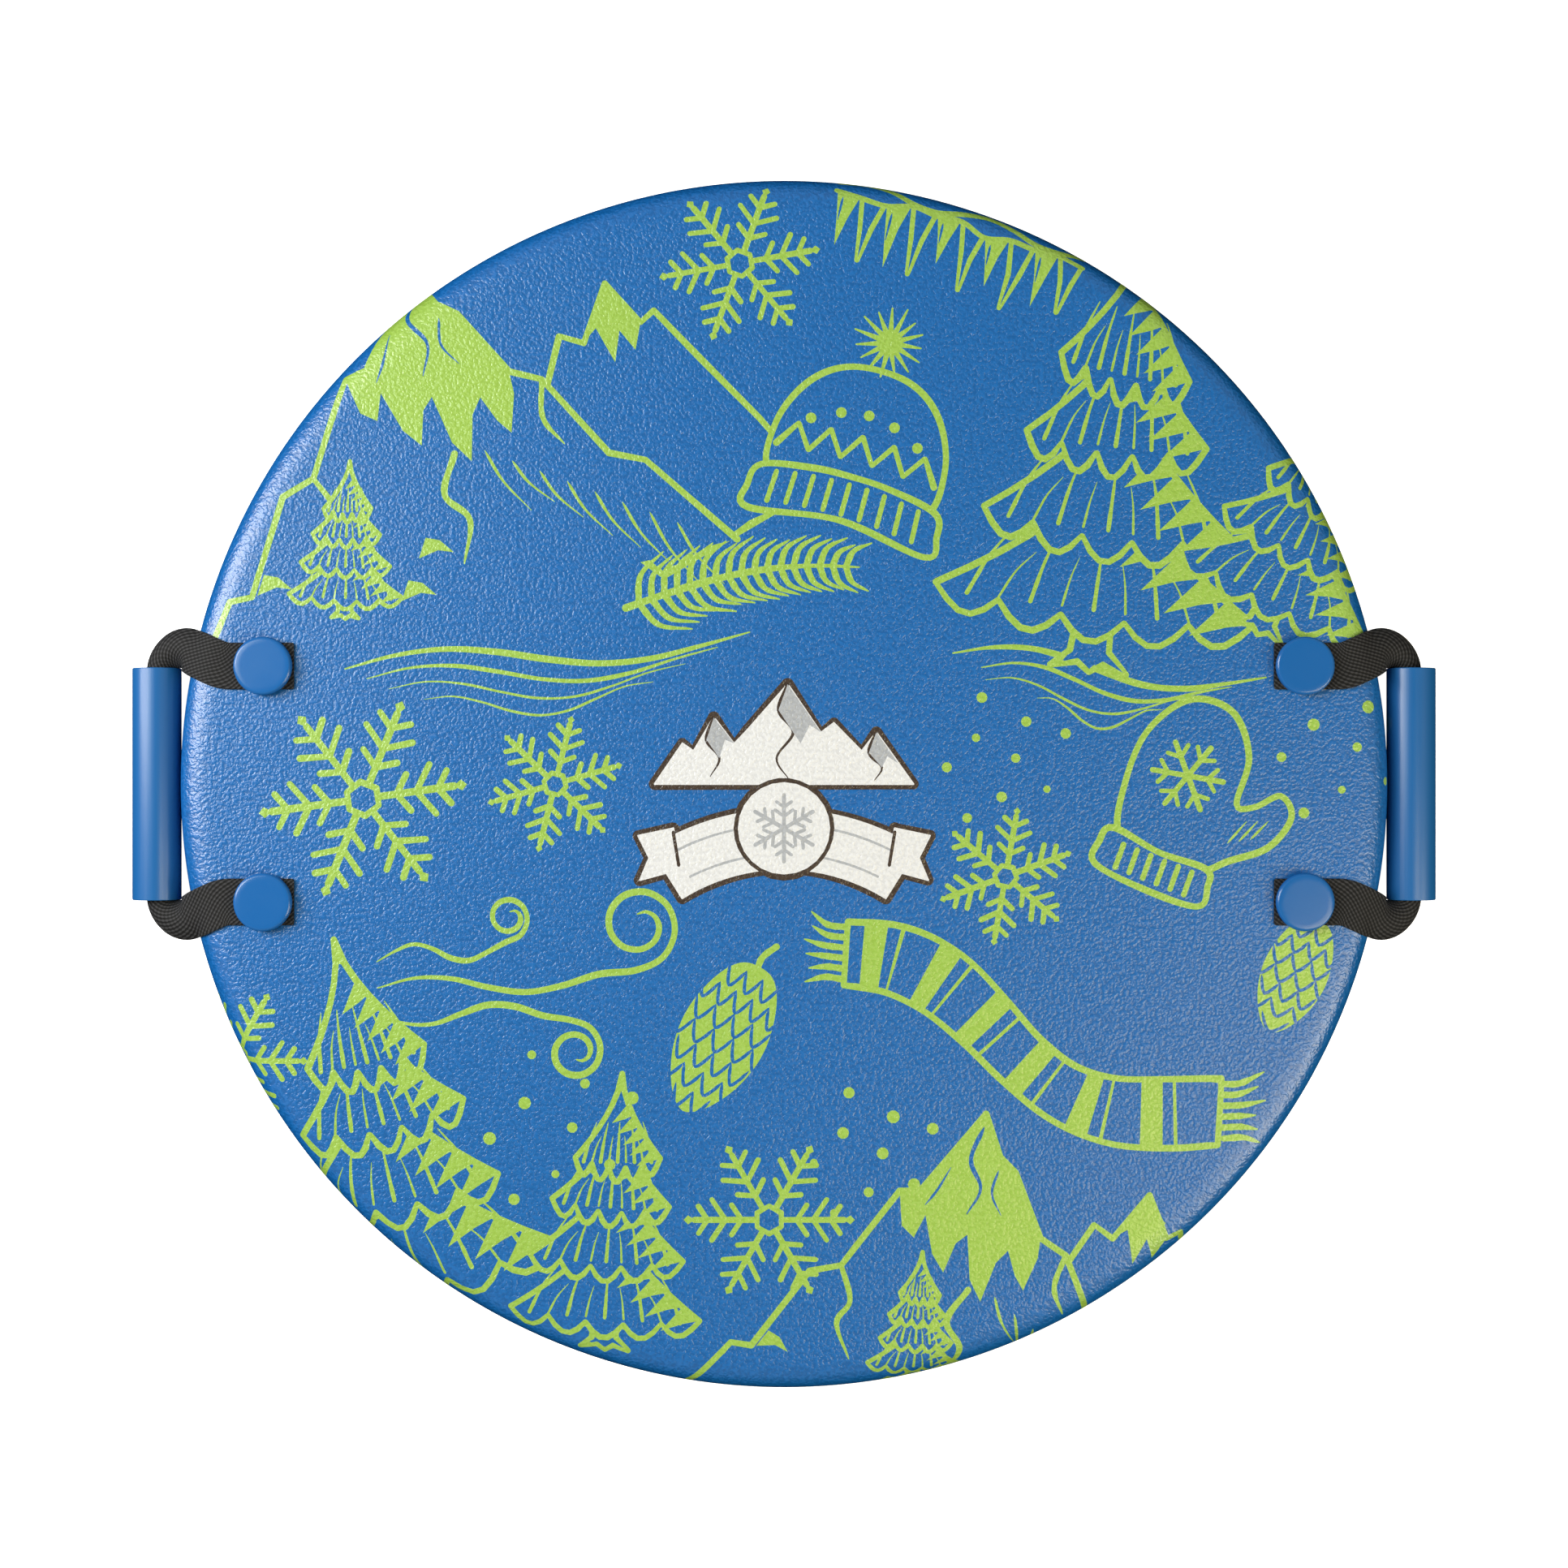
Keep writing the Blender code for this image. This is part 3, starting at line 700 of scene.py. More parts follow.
def curved(points: Sequence[Point], closed: bool = False, step: float = 1.9) -> np.ndarray:
    """Draws a smooth line through points.

    Args:
        points: the points that it passes.
        closed: whether it comes back to its start.
        step: the distance between the points of the result, in millimetres.

    Returns:
        The line's points, one a row.
    """
    given = [Vector(point) for point in points]
    if closed:
        given = [given[-1], *given, *given[:2]]
    else:
        given = [2 * given[0] - given[1], *given, 2 * given[-1] - given[-2]]
    found = []
    for a, b, c, d in zip(given, given[1:], given[2:], given[3:]):
        count = max(1, round((c - b).length / step))
        bend, swing = 2 * a - 5 * b + 4 * c - d, 3 * b - a - 3 * c + d
        for i in range(count):
            t = i / count
            found.append(0.5 * (2 * b + (c - a) * t + bend * t**2 + swing * t**3))
    if not closed:
        found.append(given[-2])
    return np.array([tuple(point) for point in found], float)


@dataclass(frozen=True)
class Placing:
    """One motif's place on the film: its kind, middle, turn and size in millimetres."""

    motif: Motif
    x: float
    y: float
    turn_deg: float
    size: float


LAYOUT = (
    Placing(Motif.PEAK, -166, 98, 13, 306),
    Placing(Motif.PINE, -238, 90, -2, 84),
    Placing(Motif.DRIFT, -128, 70, 4, 220),
    Placing(Motif.ICICLES, 96, 303, -18, 140),
    Placing(Motif.FLAKE, -24, 282, 10, 42),
    Placing(Motif.HAT, 40, 178, -16, 122),
    Placing(Motif.DRIFT, 176, 62, -6, 170),
    Placing(Motif.PINE, 164, 62, -8, 236),
    Placing(Motif.PINE, 256, 82, -26, 160),
    Placing(Motif.FLAKE, -228, -8, 8, 54),
    Placing(Motif.FLAKE, -124, 0, 16, 36),
    Placing(Motif.WIND, -150, -108, 2, 140),
    Placing(Motif.MITTEN, 214, -10, -22, 108),
    Placing(Motif.FLAKE, 120, -50, 20, 36),
    Placing(Motif.SCARF, 132, -142, -22, 222),
    Placing(Motif.SPRIG, -22, 102, 6, 128),
    Placing(Motif.PINE, -192, -292, 14, 212),
    Placing(Motif.PINE, -98, -306, -4, 148),
    Placing(Motif.CONE, -34, -138, -28, 88),
    Placing(Motif.PEAK, 84, -346, -8, 276),
    Placing(Motif.PINE, 70, -326, -4, 72),
    Placing(Motif.CONE, 276, -104, -24, 66),
    Placing(Motif.FLAKE, -8, -236, 0, 44),
    Placing(Motif.FLAKE, -300, -150, 0, 40),
    Placing(Motif.DOTS, 116, 14, 0, 40),
    Placing(Motif.DOTS, -126, -186, 0, 48),
    Placing(Motif.DOTS, 300, 20, 0, 44),
    Placing(Motif.DOTS, 44, -200, 0, 40),
    Placing(Motif.BADGE, 0, -2, 0, 144),
)


@dataclass
class Pen:
    """Draws one motif in its own units and lays its marks on the film."""

    marks: list[Mark]
    dice: random.Random
    placing: Placing
    # Millimetres to one unit of the drawing
    unit: float = 1.0

    def laid(self, line: np.ndarray) -> np.ndarray:
        """Turns and moves a line from the motif's own place to the film.

        Args:
            line: the line's points, one a row.

        Returns:
            The points on the film.
        """
        angle = math.radians(self.placing.turn_deg)
        turn = [[math.cos(angle), math.sin(angle)], [-math.sin(angle), math.cos(angle)]]
        return line @ np.array(turn) + np.array((self.placing.x, self.placing.y), float)

    def stroke(
        self,
        points: Sequence[Point],
        width: float = LINE_MM,
        taper: tuple[float, float] = (0.0, 0.0),
        closed: bool = False,
        bent: bool = True,
        ink: Ink = Ink.LIME,
    ) -> None:
        """Inks a line, with the slight swell of a hand-held pen.

        Args:
            points: the points that it passes.
            width: its width in millimetres.
            taper: the shares of its length that thin out at its start and end.
            closed: whether it comes back to its start.
            bent: whether it is drawn smooth, and not from corner to corner.
            ink: its ink.
        """
        spots = [(x * self.unit, y * self.unit) for x, y in points]
        line = curved(spots, closed) if bent else np.array(spots, float)
        if closed:
            line = np.vstack([line, line[:2]])
        share = np.linspace(0, 1, len(line))
        phase, waves = self.dice.uniform(0, 6.3), self.dice.uniform(2, 5)
        half = width / 2 * (1 + 0.07 * np.sin(phase + share * waves * 6.3))
        for end, part in zip((share, 1 - share), taper):
            if part > 0:
                half = half * (0.22 + 0.78 * np.clip(end / part, 0, 1) ** 0.8)
        self.marks.append(Mark(ink, self.laid(line), half))

    def fill(self, points: Sequence[Point], bent: bool = False, ink: Ink = Ink.LIME) -> None:
        """Inks a filled patch.

        Args:
            points: its outline.
            bent: whether the outline is drawn smooth.
            ink: its ink.
        """
        spots = [(x * self.unit, y * self.unit) for x, y in points]
        line = curved(spots, True) if bent else np.array(spots, float)
        self.marks.append(Mark(ink, self.laid(line)))

    def shape(self, points: Sequence[Point], width: float = LINE_MM, bent: bool = True) -> None:
        """Inks a closed outline, and clears what is printed inside it.

        Args:
            points: the outline.
            width: the line's width in millimetres.
            bent: whether the outline is drawn smooth.
        """
        self.fill(points, bent, Ink.FILM)
        if bent:
            self.stroke(points, width, closed=True)
        else:
            self.stroke([*points, points[0], points[1]], width, bent=False)

    def dot(self, place: Point, radius: float) -> None:
        """Inks a round dot."""
        self.fill(arc(place, 0, 324, 9, radius))

    def crystal(
        self,
        middle: Point,
        turn_deg: float,
        arm: tuple[float, float],
        barbs: Sequence[tuple[float, float]],
        lean: float,
        widths: tuple[float, float],
        ink: Ink = Ink.LIME,
    ) -> None:
        """Draws the six barbed arms of a snow crystal.

        Args:
            middle: where the arms point from.
            turn_deg: the first arm's angle.
            arm: how far from the middle an arm starts and ends.
            barbs: how far out each pair of barbs starts, and how long it is.
            lean: the angle between an arm and its barbs, in radians.
            widths: the widths of arms and barbs in millimetres.
            ink: its ink.
        """
        for sixth in range(6):
            angle = math.radians(60 * sixth + turn_deg)
            out = Vector((math.cos(angle), math.sin(angle)))
            ends = [Vector(middle) + out * reach for reach in arm]
            self.stroke(ends, widths[0], bent=False, ink=ink)
            for start, length in barbs:
                for turned in (angle - lean, angle + lean):
                    root = Vector(middle) + out * start
                    tip = root + Vector((math.cos(turned), math.sin(turned))) * length
                    self.stroke([root, tip], widths[1], bent=False, ink=ink)

    def pine(self) -> None:
        """Draws a pine of four drooping tiers, as tall as its size, up from its place."""
        self.unit = self.placing.size / 200
        line = LINE_MM * min(1.0, 0.45 + 0.55 * self.unit)
        trunk = [(-7, 34), (-9, 8), (-17, 0), (-5, 3), (1, -1), (7, 3), (18, 0), (9, 9), (7, 34)]
        self.shape(trunk, line, bent=False)
        for foot, top, width in ((28, 104, 70), (68, 138, 56), (106, 170, 43), (140, 202, 30)):
            tall = top - foot
            left, right = [], []
            for side, rim in ((-1, left), (1, right)):
                reach, sag = width * self.dice.uniform(0.93, 1.07), self.dice.uniform(-3, 3)
                for t in np.linspace(0, 1, 8):
                    rim.append((side * reach * t**1.35, top - (tall + sag) * t**0.82))
            (ax, ay), (bx, by) = right[-1], left[-1]
            skirt = []
            for i in range(1, 25):
                dip = 10 * math.sin(math.pi * (i % 5) / 5) + 7.8 * math.sin(math.pi * i / 25)
                skirt.append((ax + (bx - ax) * i / 25, ay + (by - ay) * i / 25 - dip))
            self.shape([*left[::-1], *right[1:], *skirt], line, bent=False)
            for (x, y), (u, v) in zip(right[2:7], right[3:]):
                tip = (x - 8 - 0.10 * width, v - 5 - 0.06 * width)
                self.fill([(x, y), (u, v), ((u + tip[0]) / 2 + 2, v - 3), tip])
            for i in range(1, 10):
                x, y = ax + (bx - ax) * i / 10, ay + (by - ay) * i / 10
                rise, share = (tall * 0.42, 0.66) if i % 2 else (tall * 0.26, 0.4)
                vein = [(x, y - 3), (0.86 * x, y + 0.5 * rise), (0.68 * x, y + rise)]
                self.stroke(vein, share * line, (0.0, 0.8))

    def peak(self) -> None:
        """Draws a mountain with a dripping snow cap, as wide as its size, up from its place."""
        self.unit = self.placing.size / 300
        back = [(40, 60), (74, 128), (86, 122), (104, 150), (118, 126), (126, 130), (168, 62)]
        left = [(-150, 0), (-128, 30), (-116, 30), (-88, 78), (-70, 84), (-42, 132), (-30, 134)]
        right = [(2, 184), (14, 160), (24, 152), (44, 116)]
        right += [(60, 108), (86, 62), (104, 54), (142, 2)]
        drips = [(44, 104), (38, 84), (32, 92), (26, 106), (20, 98), (14, 74), (6, 86), (1, 112)]
        drips += [(-5, 106), (-10, 88), (-18, 98), (-25, 120), (-30, 106), (-38, 112), (-42, 132)]
        snow = [(104, 150), (118, 126), (112, 112), (106, 124), (100, 108), (94, 128), (86, 122)]
        self.shape([*back, (190, 20), (100, -8)], bent=False)
        self.fill(snow)
        self.fill([*left, right[0], *right], ink=Ink.FILM)
        self.stroke([*left, right[0]], bent=False)
        self.stroke(right, bent=False)
        self.fill([*left[5:], *right[:4], *drips])
        crease = MIDDLE_LINE_MM + 0.6
        for points, width, taper, ink in (
            ([(2, 176), (-3, 156), (5, 140), (-1, 124)], MIDDLE_LINE_MM, (0.1, 0.5), Ink.FILM),
            ([(14, 152), (12, 138), (19, 126)], FINE_LINE_MM, (0.1, 0.5), Ink.FILM),
            ([(-26, 126), (-20, 136), (-14, 150)], FINE_LINE_MM, (0.3, 0.5), Ink.FILM),
            ([(6, 80), (-4, 60), (6, 44), (-2, 22)], LINE_MM, (0.0, 0.4), Ink.LIME),
            ([(-70, 84), (-62, 64), (-68, 50), (-58, 30)], crease, (0.0, 0.4), Ink.LIME),
            ([(60, 108), (56, 88), (64, 72)], crease, (0.0, 0.4), Ink.LIME),
        ):
            self.stroke(points, width, taper, ink=ink)
        for i in range(8):
            x, top = 22 + 13 * i, 78 - 8.6 * i
            foot = top - 26 - self.dice.uniform(0, 16)
            hatch = [(x, top), (x + 6, (top + foot) / 2), (x + 17, foot)]
            self.stroke(hatch, FINE_LINE_MM + 0.3, (0.1, 0.7))
        for x, y in ((-104, 34), (-16, 34), (-30, 14)):
            rock = [(x - 9, y - 4), (x - 3, y + 6), (x + 4, y + 3), (x + 10, y - 5), (x + 2, y - 2)]
            self.fill(rock)

    def flake(self) -> None:
        """Draws a snow crystal about its place, as far out as its size."""
        self.unit = self.placing.size
        width = LINE_MM + (0.4 if self.placing.size > 45 else -0.4)
        barbs = ((0.34, 0.22), (0.54, 0.30), (0.76, 0.20))
        self.crystal((0, 0), 0, (0.16, 0.92), barbs, 0.98, (width, width * 0.9))
        for sixth in range(6):
            angle = math.radians(60 * sixth)
            out = Vector((math.cos(angle), math.sin(angle)))
            side = Vector((-out.y, out.x))
            self.fill([out * 1.055, out + side * 0.055, out * 0.912, out - side * 0.055])
        self.shape(arc((0, 0), 30, 330, 5, 0.17), width * 0.9, bent=False)

    def wind(self) -> None:
        """Draws three gusts that end in curls, the first as long as its size."""
        size = self.placing.size
        rows = ((0.0, 1.0, 24.0, 1), (-16.0, 0.74, 17.0, -1), (18.0, 0.50, 13.0, 1))
        for offset, share, radius, sign in rows:
            points = []
            for t in np.linspace(0, 1, 8):
                wave = offset + 5 * math.sin(2.6 * t * math.pi + offset)
                points.append((size * (share * t - 0.5), wave))
            x, y = points[-1]
            for t in np.linspace(1 / 14, 1, 14):
                angle, curl = sign * math.pi * (3.1 * t - 0.5), radius * (1 - 0.72 * t)
                up = y + sign * radius + curl * math.sin(angle)
                points.append((x + 4 * t + curl * math.cos(angle), up))
            self.stroke(points, LINE_MM if share > 0.6 else LINE_MM - 0.6, (0.25, 0.06))

    def icicles(self) -> None:
        """Draws a snowy edge, as long as its size, with icicles under it."""
        count = int(self.placing.size / 14)
        along = [self.placing.size * (i / count - 0.5) for i in range(count + 1)]
        low = [(x, self.dice.uniform(-3, 2)) for x in along]
        self.stroke([(x, 6 + 4 * math.sin(i * 1.3)) for i, x in enumerate(along)])
        for i, ((ax, ay), (bx, by)) in enumerate(zip(low, low[1:])):
            drop = self.dice.uniform(16, 40)
            tip = ((ax + bx) / 2 + self.dice.uniform(-2, 2), min(ay, by) - drop)
            spike = [(ax + 0.6, ay), (ax + 0.32 * (bx - ax), ay - 0.5 * drop), tip]
            spike += [(ax + 0.74 * (bx - ax), by - 0.45 * drop), (bx - 0.6, by)]
            if i % 2:
                self.stroke(spike, MIDDLE_LINE_MM + 0.4, bent=False)
            else:
                self.fill(spike)
                glint = [(ax + 4.5, ay - 3), (ax + 5.5, ay - 0.55 * drop)]
                self.stroke(glint, FINE_LINE_MM, (0.2, 0.6), ink=Ink.FILM)
        self.stroke(low, MIDDLE_LINE_MM + 0.6)

    def sprig(self) -> None:
        """Draws a fir sprig with fat needles, as long as its size."""
        shares = np.linspace(0, 1, 7)
        spine = [(self.placing.size * (t - 0.5), 13 * math.sin(2.4 * t)) for t in shares]
        path = curved(spine, step=7.6)
        for i in range(1, len(path) - 1):
            root, way = Vector(path[i]), Vector(path[i + 1] - path[i - 1]).normalized()
            for lean in (-1, 1):
                length = (30 - 13 * i / len(path)) * self.dice.uniform(0.85, 1.1)
                side = Vector((-way.y, way.x)) * lean
                middle = root + (way * 0.45 + side).normalized() * length * 0.5
                tip = root + (way * 0.8 + side * 0.8).normalized() * length
                self.stroke([root, middle, tip], LINE_MM, (0.0, 0.75))
        self.stroke(spine, LINE_MM + 0.4, (0.0, 0.5))

    def cone(self) -> None:
        """Draws a fir cone with rows of scales, as long as its size, hung from its stalk."""
        half = self.placing.size / 2
        self.stroke([(3, half * 1.32), (-1, half * 1.12), (0, half * 0.92)])
        levels = (0.98, 0.78, 0.40, 0.0, -0.42, -0.78, -0.98)
        widths = (0.16, 0.36, 0.50, 0.54, 0.46, 0.28, 0.08)
        rim = [(half * width, half * level) for level, width in zip(levels, widths)]
        self.fill(rim + [(-x, y) for x, y in rim[::-1]], bent=True)
        for row in range(7):
            level = 0.80 - row * 0.27
            span = half * float(np.interp(level, levels[::-1], widths[::-1]))
            count = max(1, round(span * 2 / 11))
            wide, deep = span / count, 0.17 * half
            for i in range(count + row % 2):
                x, y = (2 * i + 1 - row % 2) * wide - span, level * half
                scale = ((-1, 0.5), (-0.55, -0.4), (0, -1), (0.55, -0.4), (1, 0.5))
                arch = [(x + u * wide, y + v * deep) for u, v in scale]
                self.stroke(arch, 1.8, (0.15, 0.15), ink=Ink.FILM)

    def mitten(self) -> None:
        """Draws a mitten with a ribbed cuff, as tall as its size, its palm at its place."""
        self.unit = self.placing.size / 100
        body = [(-22, -26), (-29, 0), (-28, 28), (-14, 50), (8, 52), (24, 34), (27, 10)]
        body += [(36, 12), (46, 22), (55, 14), (50, -4), (34, -18), (22, -28), (0, -29)]
        cuff = [(-26, -24), (0, -27), (25, -26), (29, -34), (28, -45), (0, -47), (-28, -44)]
        self.shape(body)
        self.shape([*cuff, (-30, -33)])
        for i in range(6):
            x = -18 + 7.4 * i
            self.stroke([(x, -30), (x + 0.4, -42)], LINE_MM - 0.6)
        self.crystal((-1, 14), 12, (0, 18), ((10, 7),), 0.9, (LINE_MM - 0.6, MIDDLE_LINE_MM))
        for i in (0, 5, 10):
            crease = [(30 + i, -10 + i * 0.6), (35 + i, 4 + i * 0.4)]
            self.stroke(crease, FINE_LINE_MM, (0.2, 0.5))

    def hat(self) -> None:
        """Draws a knitted hat with a bobble, as tall as its size, about its place."""
        self.unit = self.placing.size / 110
        dome = [(-38, -20), (-43, 4), (-33, 28), (-14, 41), (14, 41), (33, 28), (43, 4), (38, -20)]
        self.shape([*dome, (0, -16)])
        heights = [(6 if i % 2 else -5) + 2.5 * math.sin(i * 0.31) for i in range(11)]
        self.stroke([(8 * i - 40, height) for i, height in enumerate(heights)], bent=False)
        for i in range(5):
            x = 13.5 * i - 27
            self.dot((x, 20 - 0.012 * x**2), 2.7)
        cuff = [(-44, -17), (-20, -12), (0, -11), (20, -12), (44, -17), (48, -28), (45, -39)]
        self.shape([*cuff, (0, -33), (-45, -39), (-48, -28)])
        for x in range(-36, 37, 9):
            lift = 4 - 0.0026 * x**2
            self.stroke([(x, lift - 19), (x * 1.02, lift - 34)], LINE_MM - 0.8)
        for i in range(15):
            angle, length = math.radians(24 * i + 6), self.dice.uniform(15, 19)
            tip = (length * math.cos(angle), 57 + length * math.sin(angle))
            self.stroke([(0, 57), tip], LINE_MM + 0.6, (0.0, 0.6), bent=False)

    def scarf(self) -> None:
        """Draws a striped scarf that blows in the wind, as long as its size."""
        shares = np.linspace(0, 1, 9)
        spine = [(self.placing.size * (t - 0.5), 17 * math.sin(6.1 * t + 0.6)) for t in shares]
        path = curved(spine)
        ways = np.gradient(path, axis=0)
        ways /= np.linalg.norm(ways, axis=1, keepdims=True)
        half = 17 * (1 + 0.10 * np.sin(np.linspace(0, 9, len(path))))
        sides = np.stack([-ways[:, 1], ways[:, 0]], axis=1) * half[:, None]
        upper, lower = path + sides, path - sides
        for end, sign in ((0, -1), (-1, 1)):
            for i in range(6):
                root = lower[end] + (upper[end] - lower[end]) * (i + 0.5) / 6
                reach = ways[end] * sign * self.dice.uniform(17, 24)
                fringe = [root, root + reach / 2, root + reach + (0, 2 * i - 4)]
                self.stroke(fringe, LINE_MM, (0.0, 0.5))
        self.shape(np.vstack([upper, lower[::-1]])[::3], bent=False)
        for start in range(5, len(path) - 9, 19):
            for stripe in (slice(start, start + 7), slice(start + 9, start + 11)):
                self.fill(np.vstack([upper[stripe], lower[stripe][::-1]]))

    def dots(self) -> None:
        """Scatters falling snow about its place, as far out as its size."""
        for i in range(9):
            angle, reach = 2.4 * i, self.placing.size * math.sqrt((i + 0.5) / 9)
            place = (reach * math.cos(angle), reach * math.sin(angle))
            self.dot(place, self.dice.uniform(2.0, 3.6))

    def drift(self) -> None:
        """Draws the wavy rims of wind-blown snow, the first as long as its size."""
        half = self.placing.size / 2
        for row, width in enumerate((LINE_MM, MIDDLE_LINE_MM, FINE_LINE_MM, FINE_LINE_MM)):
            start, end = 14 * row * self.dice.uniform(0.6, 1.2) - half, half - 18 * row
            points = []
            for t in np.linspace(0, 1, 9):
                rise = 7 * math.sin(t * 7 + row * 0.35) - 8.5 * row
                points.append((start + (end - start) * t, rise))
            self.stroke(points, width, (0.3, 0.3))

    def badge(self) -> None:
        """Draws a blank badge: white peaks over a ribbon with a roundel, outlined in dark."""
        self.unit = self.placing.size / 144
        peaks = [(-70, 2), (-55, 24), (-49, 20), (-38, 38), (-27, 24), (-20, 31), (2, 56)]
        peaks += [(20, 30), (27, 35), (42, 20), (50, 30), (70, 2)]
        ribbon = arc((0, -148), 122, 58, 22, 136) + arc((0, -148), 58, 122, 22, 104)
        tail = ((60, -22), (79, -26), (73, -38), (78, -50), (56, -44))
        tails = [[(side * x, y) for x, y in tail] for side in (-1, 1)]
        roundel = arc((0, -22), 0, 345, 23, 25)
        for ink, width, outlines in (
            (Ink.CHARCOAL, 6.4, (peaks, ribbon, roundel, *tails)),
            (Ink.WHITE, 1.0, (peaks, *tails, ribbon)),
        ):
            for outline in outlines:
                self.fill(outline, ink=ink)
                self.stroke([*outline, outline[0]], width, bent=False, ink=ink)
        for crack in (
            [(2, 56), (-3, 42), (5, 30), (-4, 16), (3, 4)],
            [(-38, 38), (-42, 26), (-35, 16), (-40, 6)],
            [(50, 30), (46, 19), (53, 11), (49, 4)],
        ):
            self.stroke(crack, 1.8, (0.0, 0.5), ink=Ink.CHARCOAL)
        for shadow in (
            [(2, 56), (20, 30), (14, 34), (9, 24), (5, 30), (-3, 42)],
            [(-38, 38), (-27, 24), (-32, 26), (-35, 16), (-42, 26)],
            [(50, 30), (62, 13), (56, 17), (53, 11), (46, 19)],
        ):
            self.fill(shadow, ink=Ink.SILVER)
        for radius in (128, 112):
            self.stroke(arc((0, -148), 117, 63, 20, radius), 1.3, ink=Ink.SILVER)
        for side in (-1, 1):
            self.stroke([(side * 60, -24), (side * 57, -42)], 1.8, ink=Ink.CHARCOAL)
        self.stroke(arc((0, -22), 0, 360, 30, 25), 4.4, bent=False, ink=Ink.CHARCOAL)
        self.fill(roundel, ink=Ink.WHITE)
        barbs = ((6.5, 6.0), (11.5, 5.0))
        self.crystal((0, -22), 30, (0, 18), barbs, 0.95, (2.2, 1.8), Ink.SILVER)


@dataclass(frozen=True)
class DeckPrint:
    """The print on the skin: winter drawings all over the film and a blank badge in its middle."""

    seed: int = 11
    layout: tuple[Placing, ...] = LAYOUT

    def draw(self) -> list[Mark]:
        """Draws every motif, each over those before it.

        Returns:
            The marks in the order in which they are printed.
        """
        marks: list[Mark] = []
        dice = random.Random(self.seed)
        for placing in self.layout:
            getattr(Pen(marks, dice, placing), placing.motif.value)()
        return marks


@dataclass
class FoamDeck:
    """The disc: a printed skin over a foam core, and a slick sheet below."""

    radius: float = 0.330
    thickness: float = 0.038
    widest_z: float = 0.017
    shoulder_width: float = 0.022
    # Squarer than the CAD's ellipse, as the shading near the rim shows
    fullness: float = 3.0
    tuck_width: float = 0.012
    hem_z: float = 0.0011
    hem_width: float = 0.012
    skin_thickness: float = 0.001
    layer_gap: float = 0.0003
    slick_thickness: float = 0.0008
    slick_setback: float = 0.0006
    slick_edge: float = 0.0005
    # The film's plan has rings of points this far apart, on the flat and over the rim
    flat_step_mm: float = 18.0
    rim_step_mm: float = 2.4
    steps: int = 360
    print_below_mm: float = 9.0
    hole_radius: float = 0.0043
    pocket_radius: float = 0.0153
    pocket_top: float = 0.0032
    sleeve_radius: float = 0.0063
    fillet: float = 0.0008
    corners: Sequence[Vector] = ()

    @property
    def hem_radius(self) -> float:
        """Where the skin's hem ends under the foam."""
        return self.radius - self.tuck_width - self.hem_width

    def rim(self, inset: float, steps: int) -> list[Point]:
        """The rim's profile from the deck's flat to the tuck below, as (radius, height).

        Args:
            inset: how far inside the skin's outer face it lies.
            steps: how many parts each of its two arcs has.

        Returns:
            The points from the deck downwards.
        """
        z, wide, tall = self.widest_z, self.shoulder_width, self.thickness - self.widest_z
        top, low = (self.radius - wide, z), (self.radius - self.tuck_width, z)
        shoulder = arc(top, 90, 0, steps, wide - inset, tall - inset, self.fullness)
        tuck = arc(low, 0, -90, steps, self.tuck_width - inset, z - self.hem_z - inset)
        return shoulder + tuck[1:]

    def top_at(self, radius: float) -> float:
        """The height of the skin's upper face at a distance from the middle.

        Args:
            radius: the distance.

        Returns:
            The height, or 0 outside the disc.
        """
        share = (radius - self.radius + self.shoulder_width) / self.shoulder_width
        if share >= 1:
            return 0.0
        rise = (1 - max(share, 0.0) ** self.fullness) ** (1 / self.fullness)
        return self.widest_z + (self.thickness - self.widest_z) * rise

    def unrolled(self) -> tuple[np.ndarray, np.ndarray, np.ndarray]:
        """The skin's profile by its distance from the middle along the film.

        Returns:
            The distances in millimetres, the (radius, height) points and their normals.
        """
        profile = [(0.0, self.thickness), *self.rim(0.0, 90), (self.hem_radius, self.hem_z)]
        points = np.array(profile)
        lengths = np.linalg.norm(np.diff(points, axis=0), axis=1)
        distances = np.concatenate([[0.0], np.cumsum(lengths)]) / MM
        ways = np.gradient(points, axis=0)
        ways[:2], ways[-1] = (1, 0), (-1, 0)
        normals = np.stack([-ways[:, 1], ways[:, 0]], axis=1)
        normals /= np.linalg.norm(normals, axis=1, keepdims=True)
        return distances, points, normals

    def plan(
        self, marks: Sequence[Mark], rings: Sequence[float], print_mm: float
    ) -> tuple[np.ndarray, np.ndarray]:
        """Cuts the film's plan into triangles along the print's outlines.

        Args:
            marks: the print.
            rings: the radii of the rings over the rim, in millimetres.
            print_mm: how far out the print goes.

        Returns:
            The points in millimetres and the triangles' corners.
        """
        spots: list[Point] = []
        step = self.flat_step_mm
        for radius in np.arange(step, rings[0] - step / 3, step):
            spots += arc((0, 0), 0, 360, max(6, round(radius / 3)), radius)[:-1]
        loops = [arc((0, 0), 0, 360, self.steps, radius)[:-1] for radius in rings]
        hole = self.hole_radius / MM
        loops += [arc(corner.xy / MM, 0, 345, 23, hole) for corner in self.corners]
        outlines = [mark.outline() for mark in marks]
        loops += [loop for loop in outlines if min(math.hypot(x, y) for x, y in loop) < print_mm]
        edges = []
        for loop in loops:
            start, count = len(spots), len(loop)
            spots += loop
            edges += [(start + i, start + (i + 1) % count) for i in range(count)]
        made = delaunay_2d_cdt([Vector(spot) for spot in spots], edges, [], 0, WELD_MM, False)
        corners = [face for face in made[2] if len(face) == 3]
        return np.array([tuple(spot) for spot in made[0]]), np.array(corners)

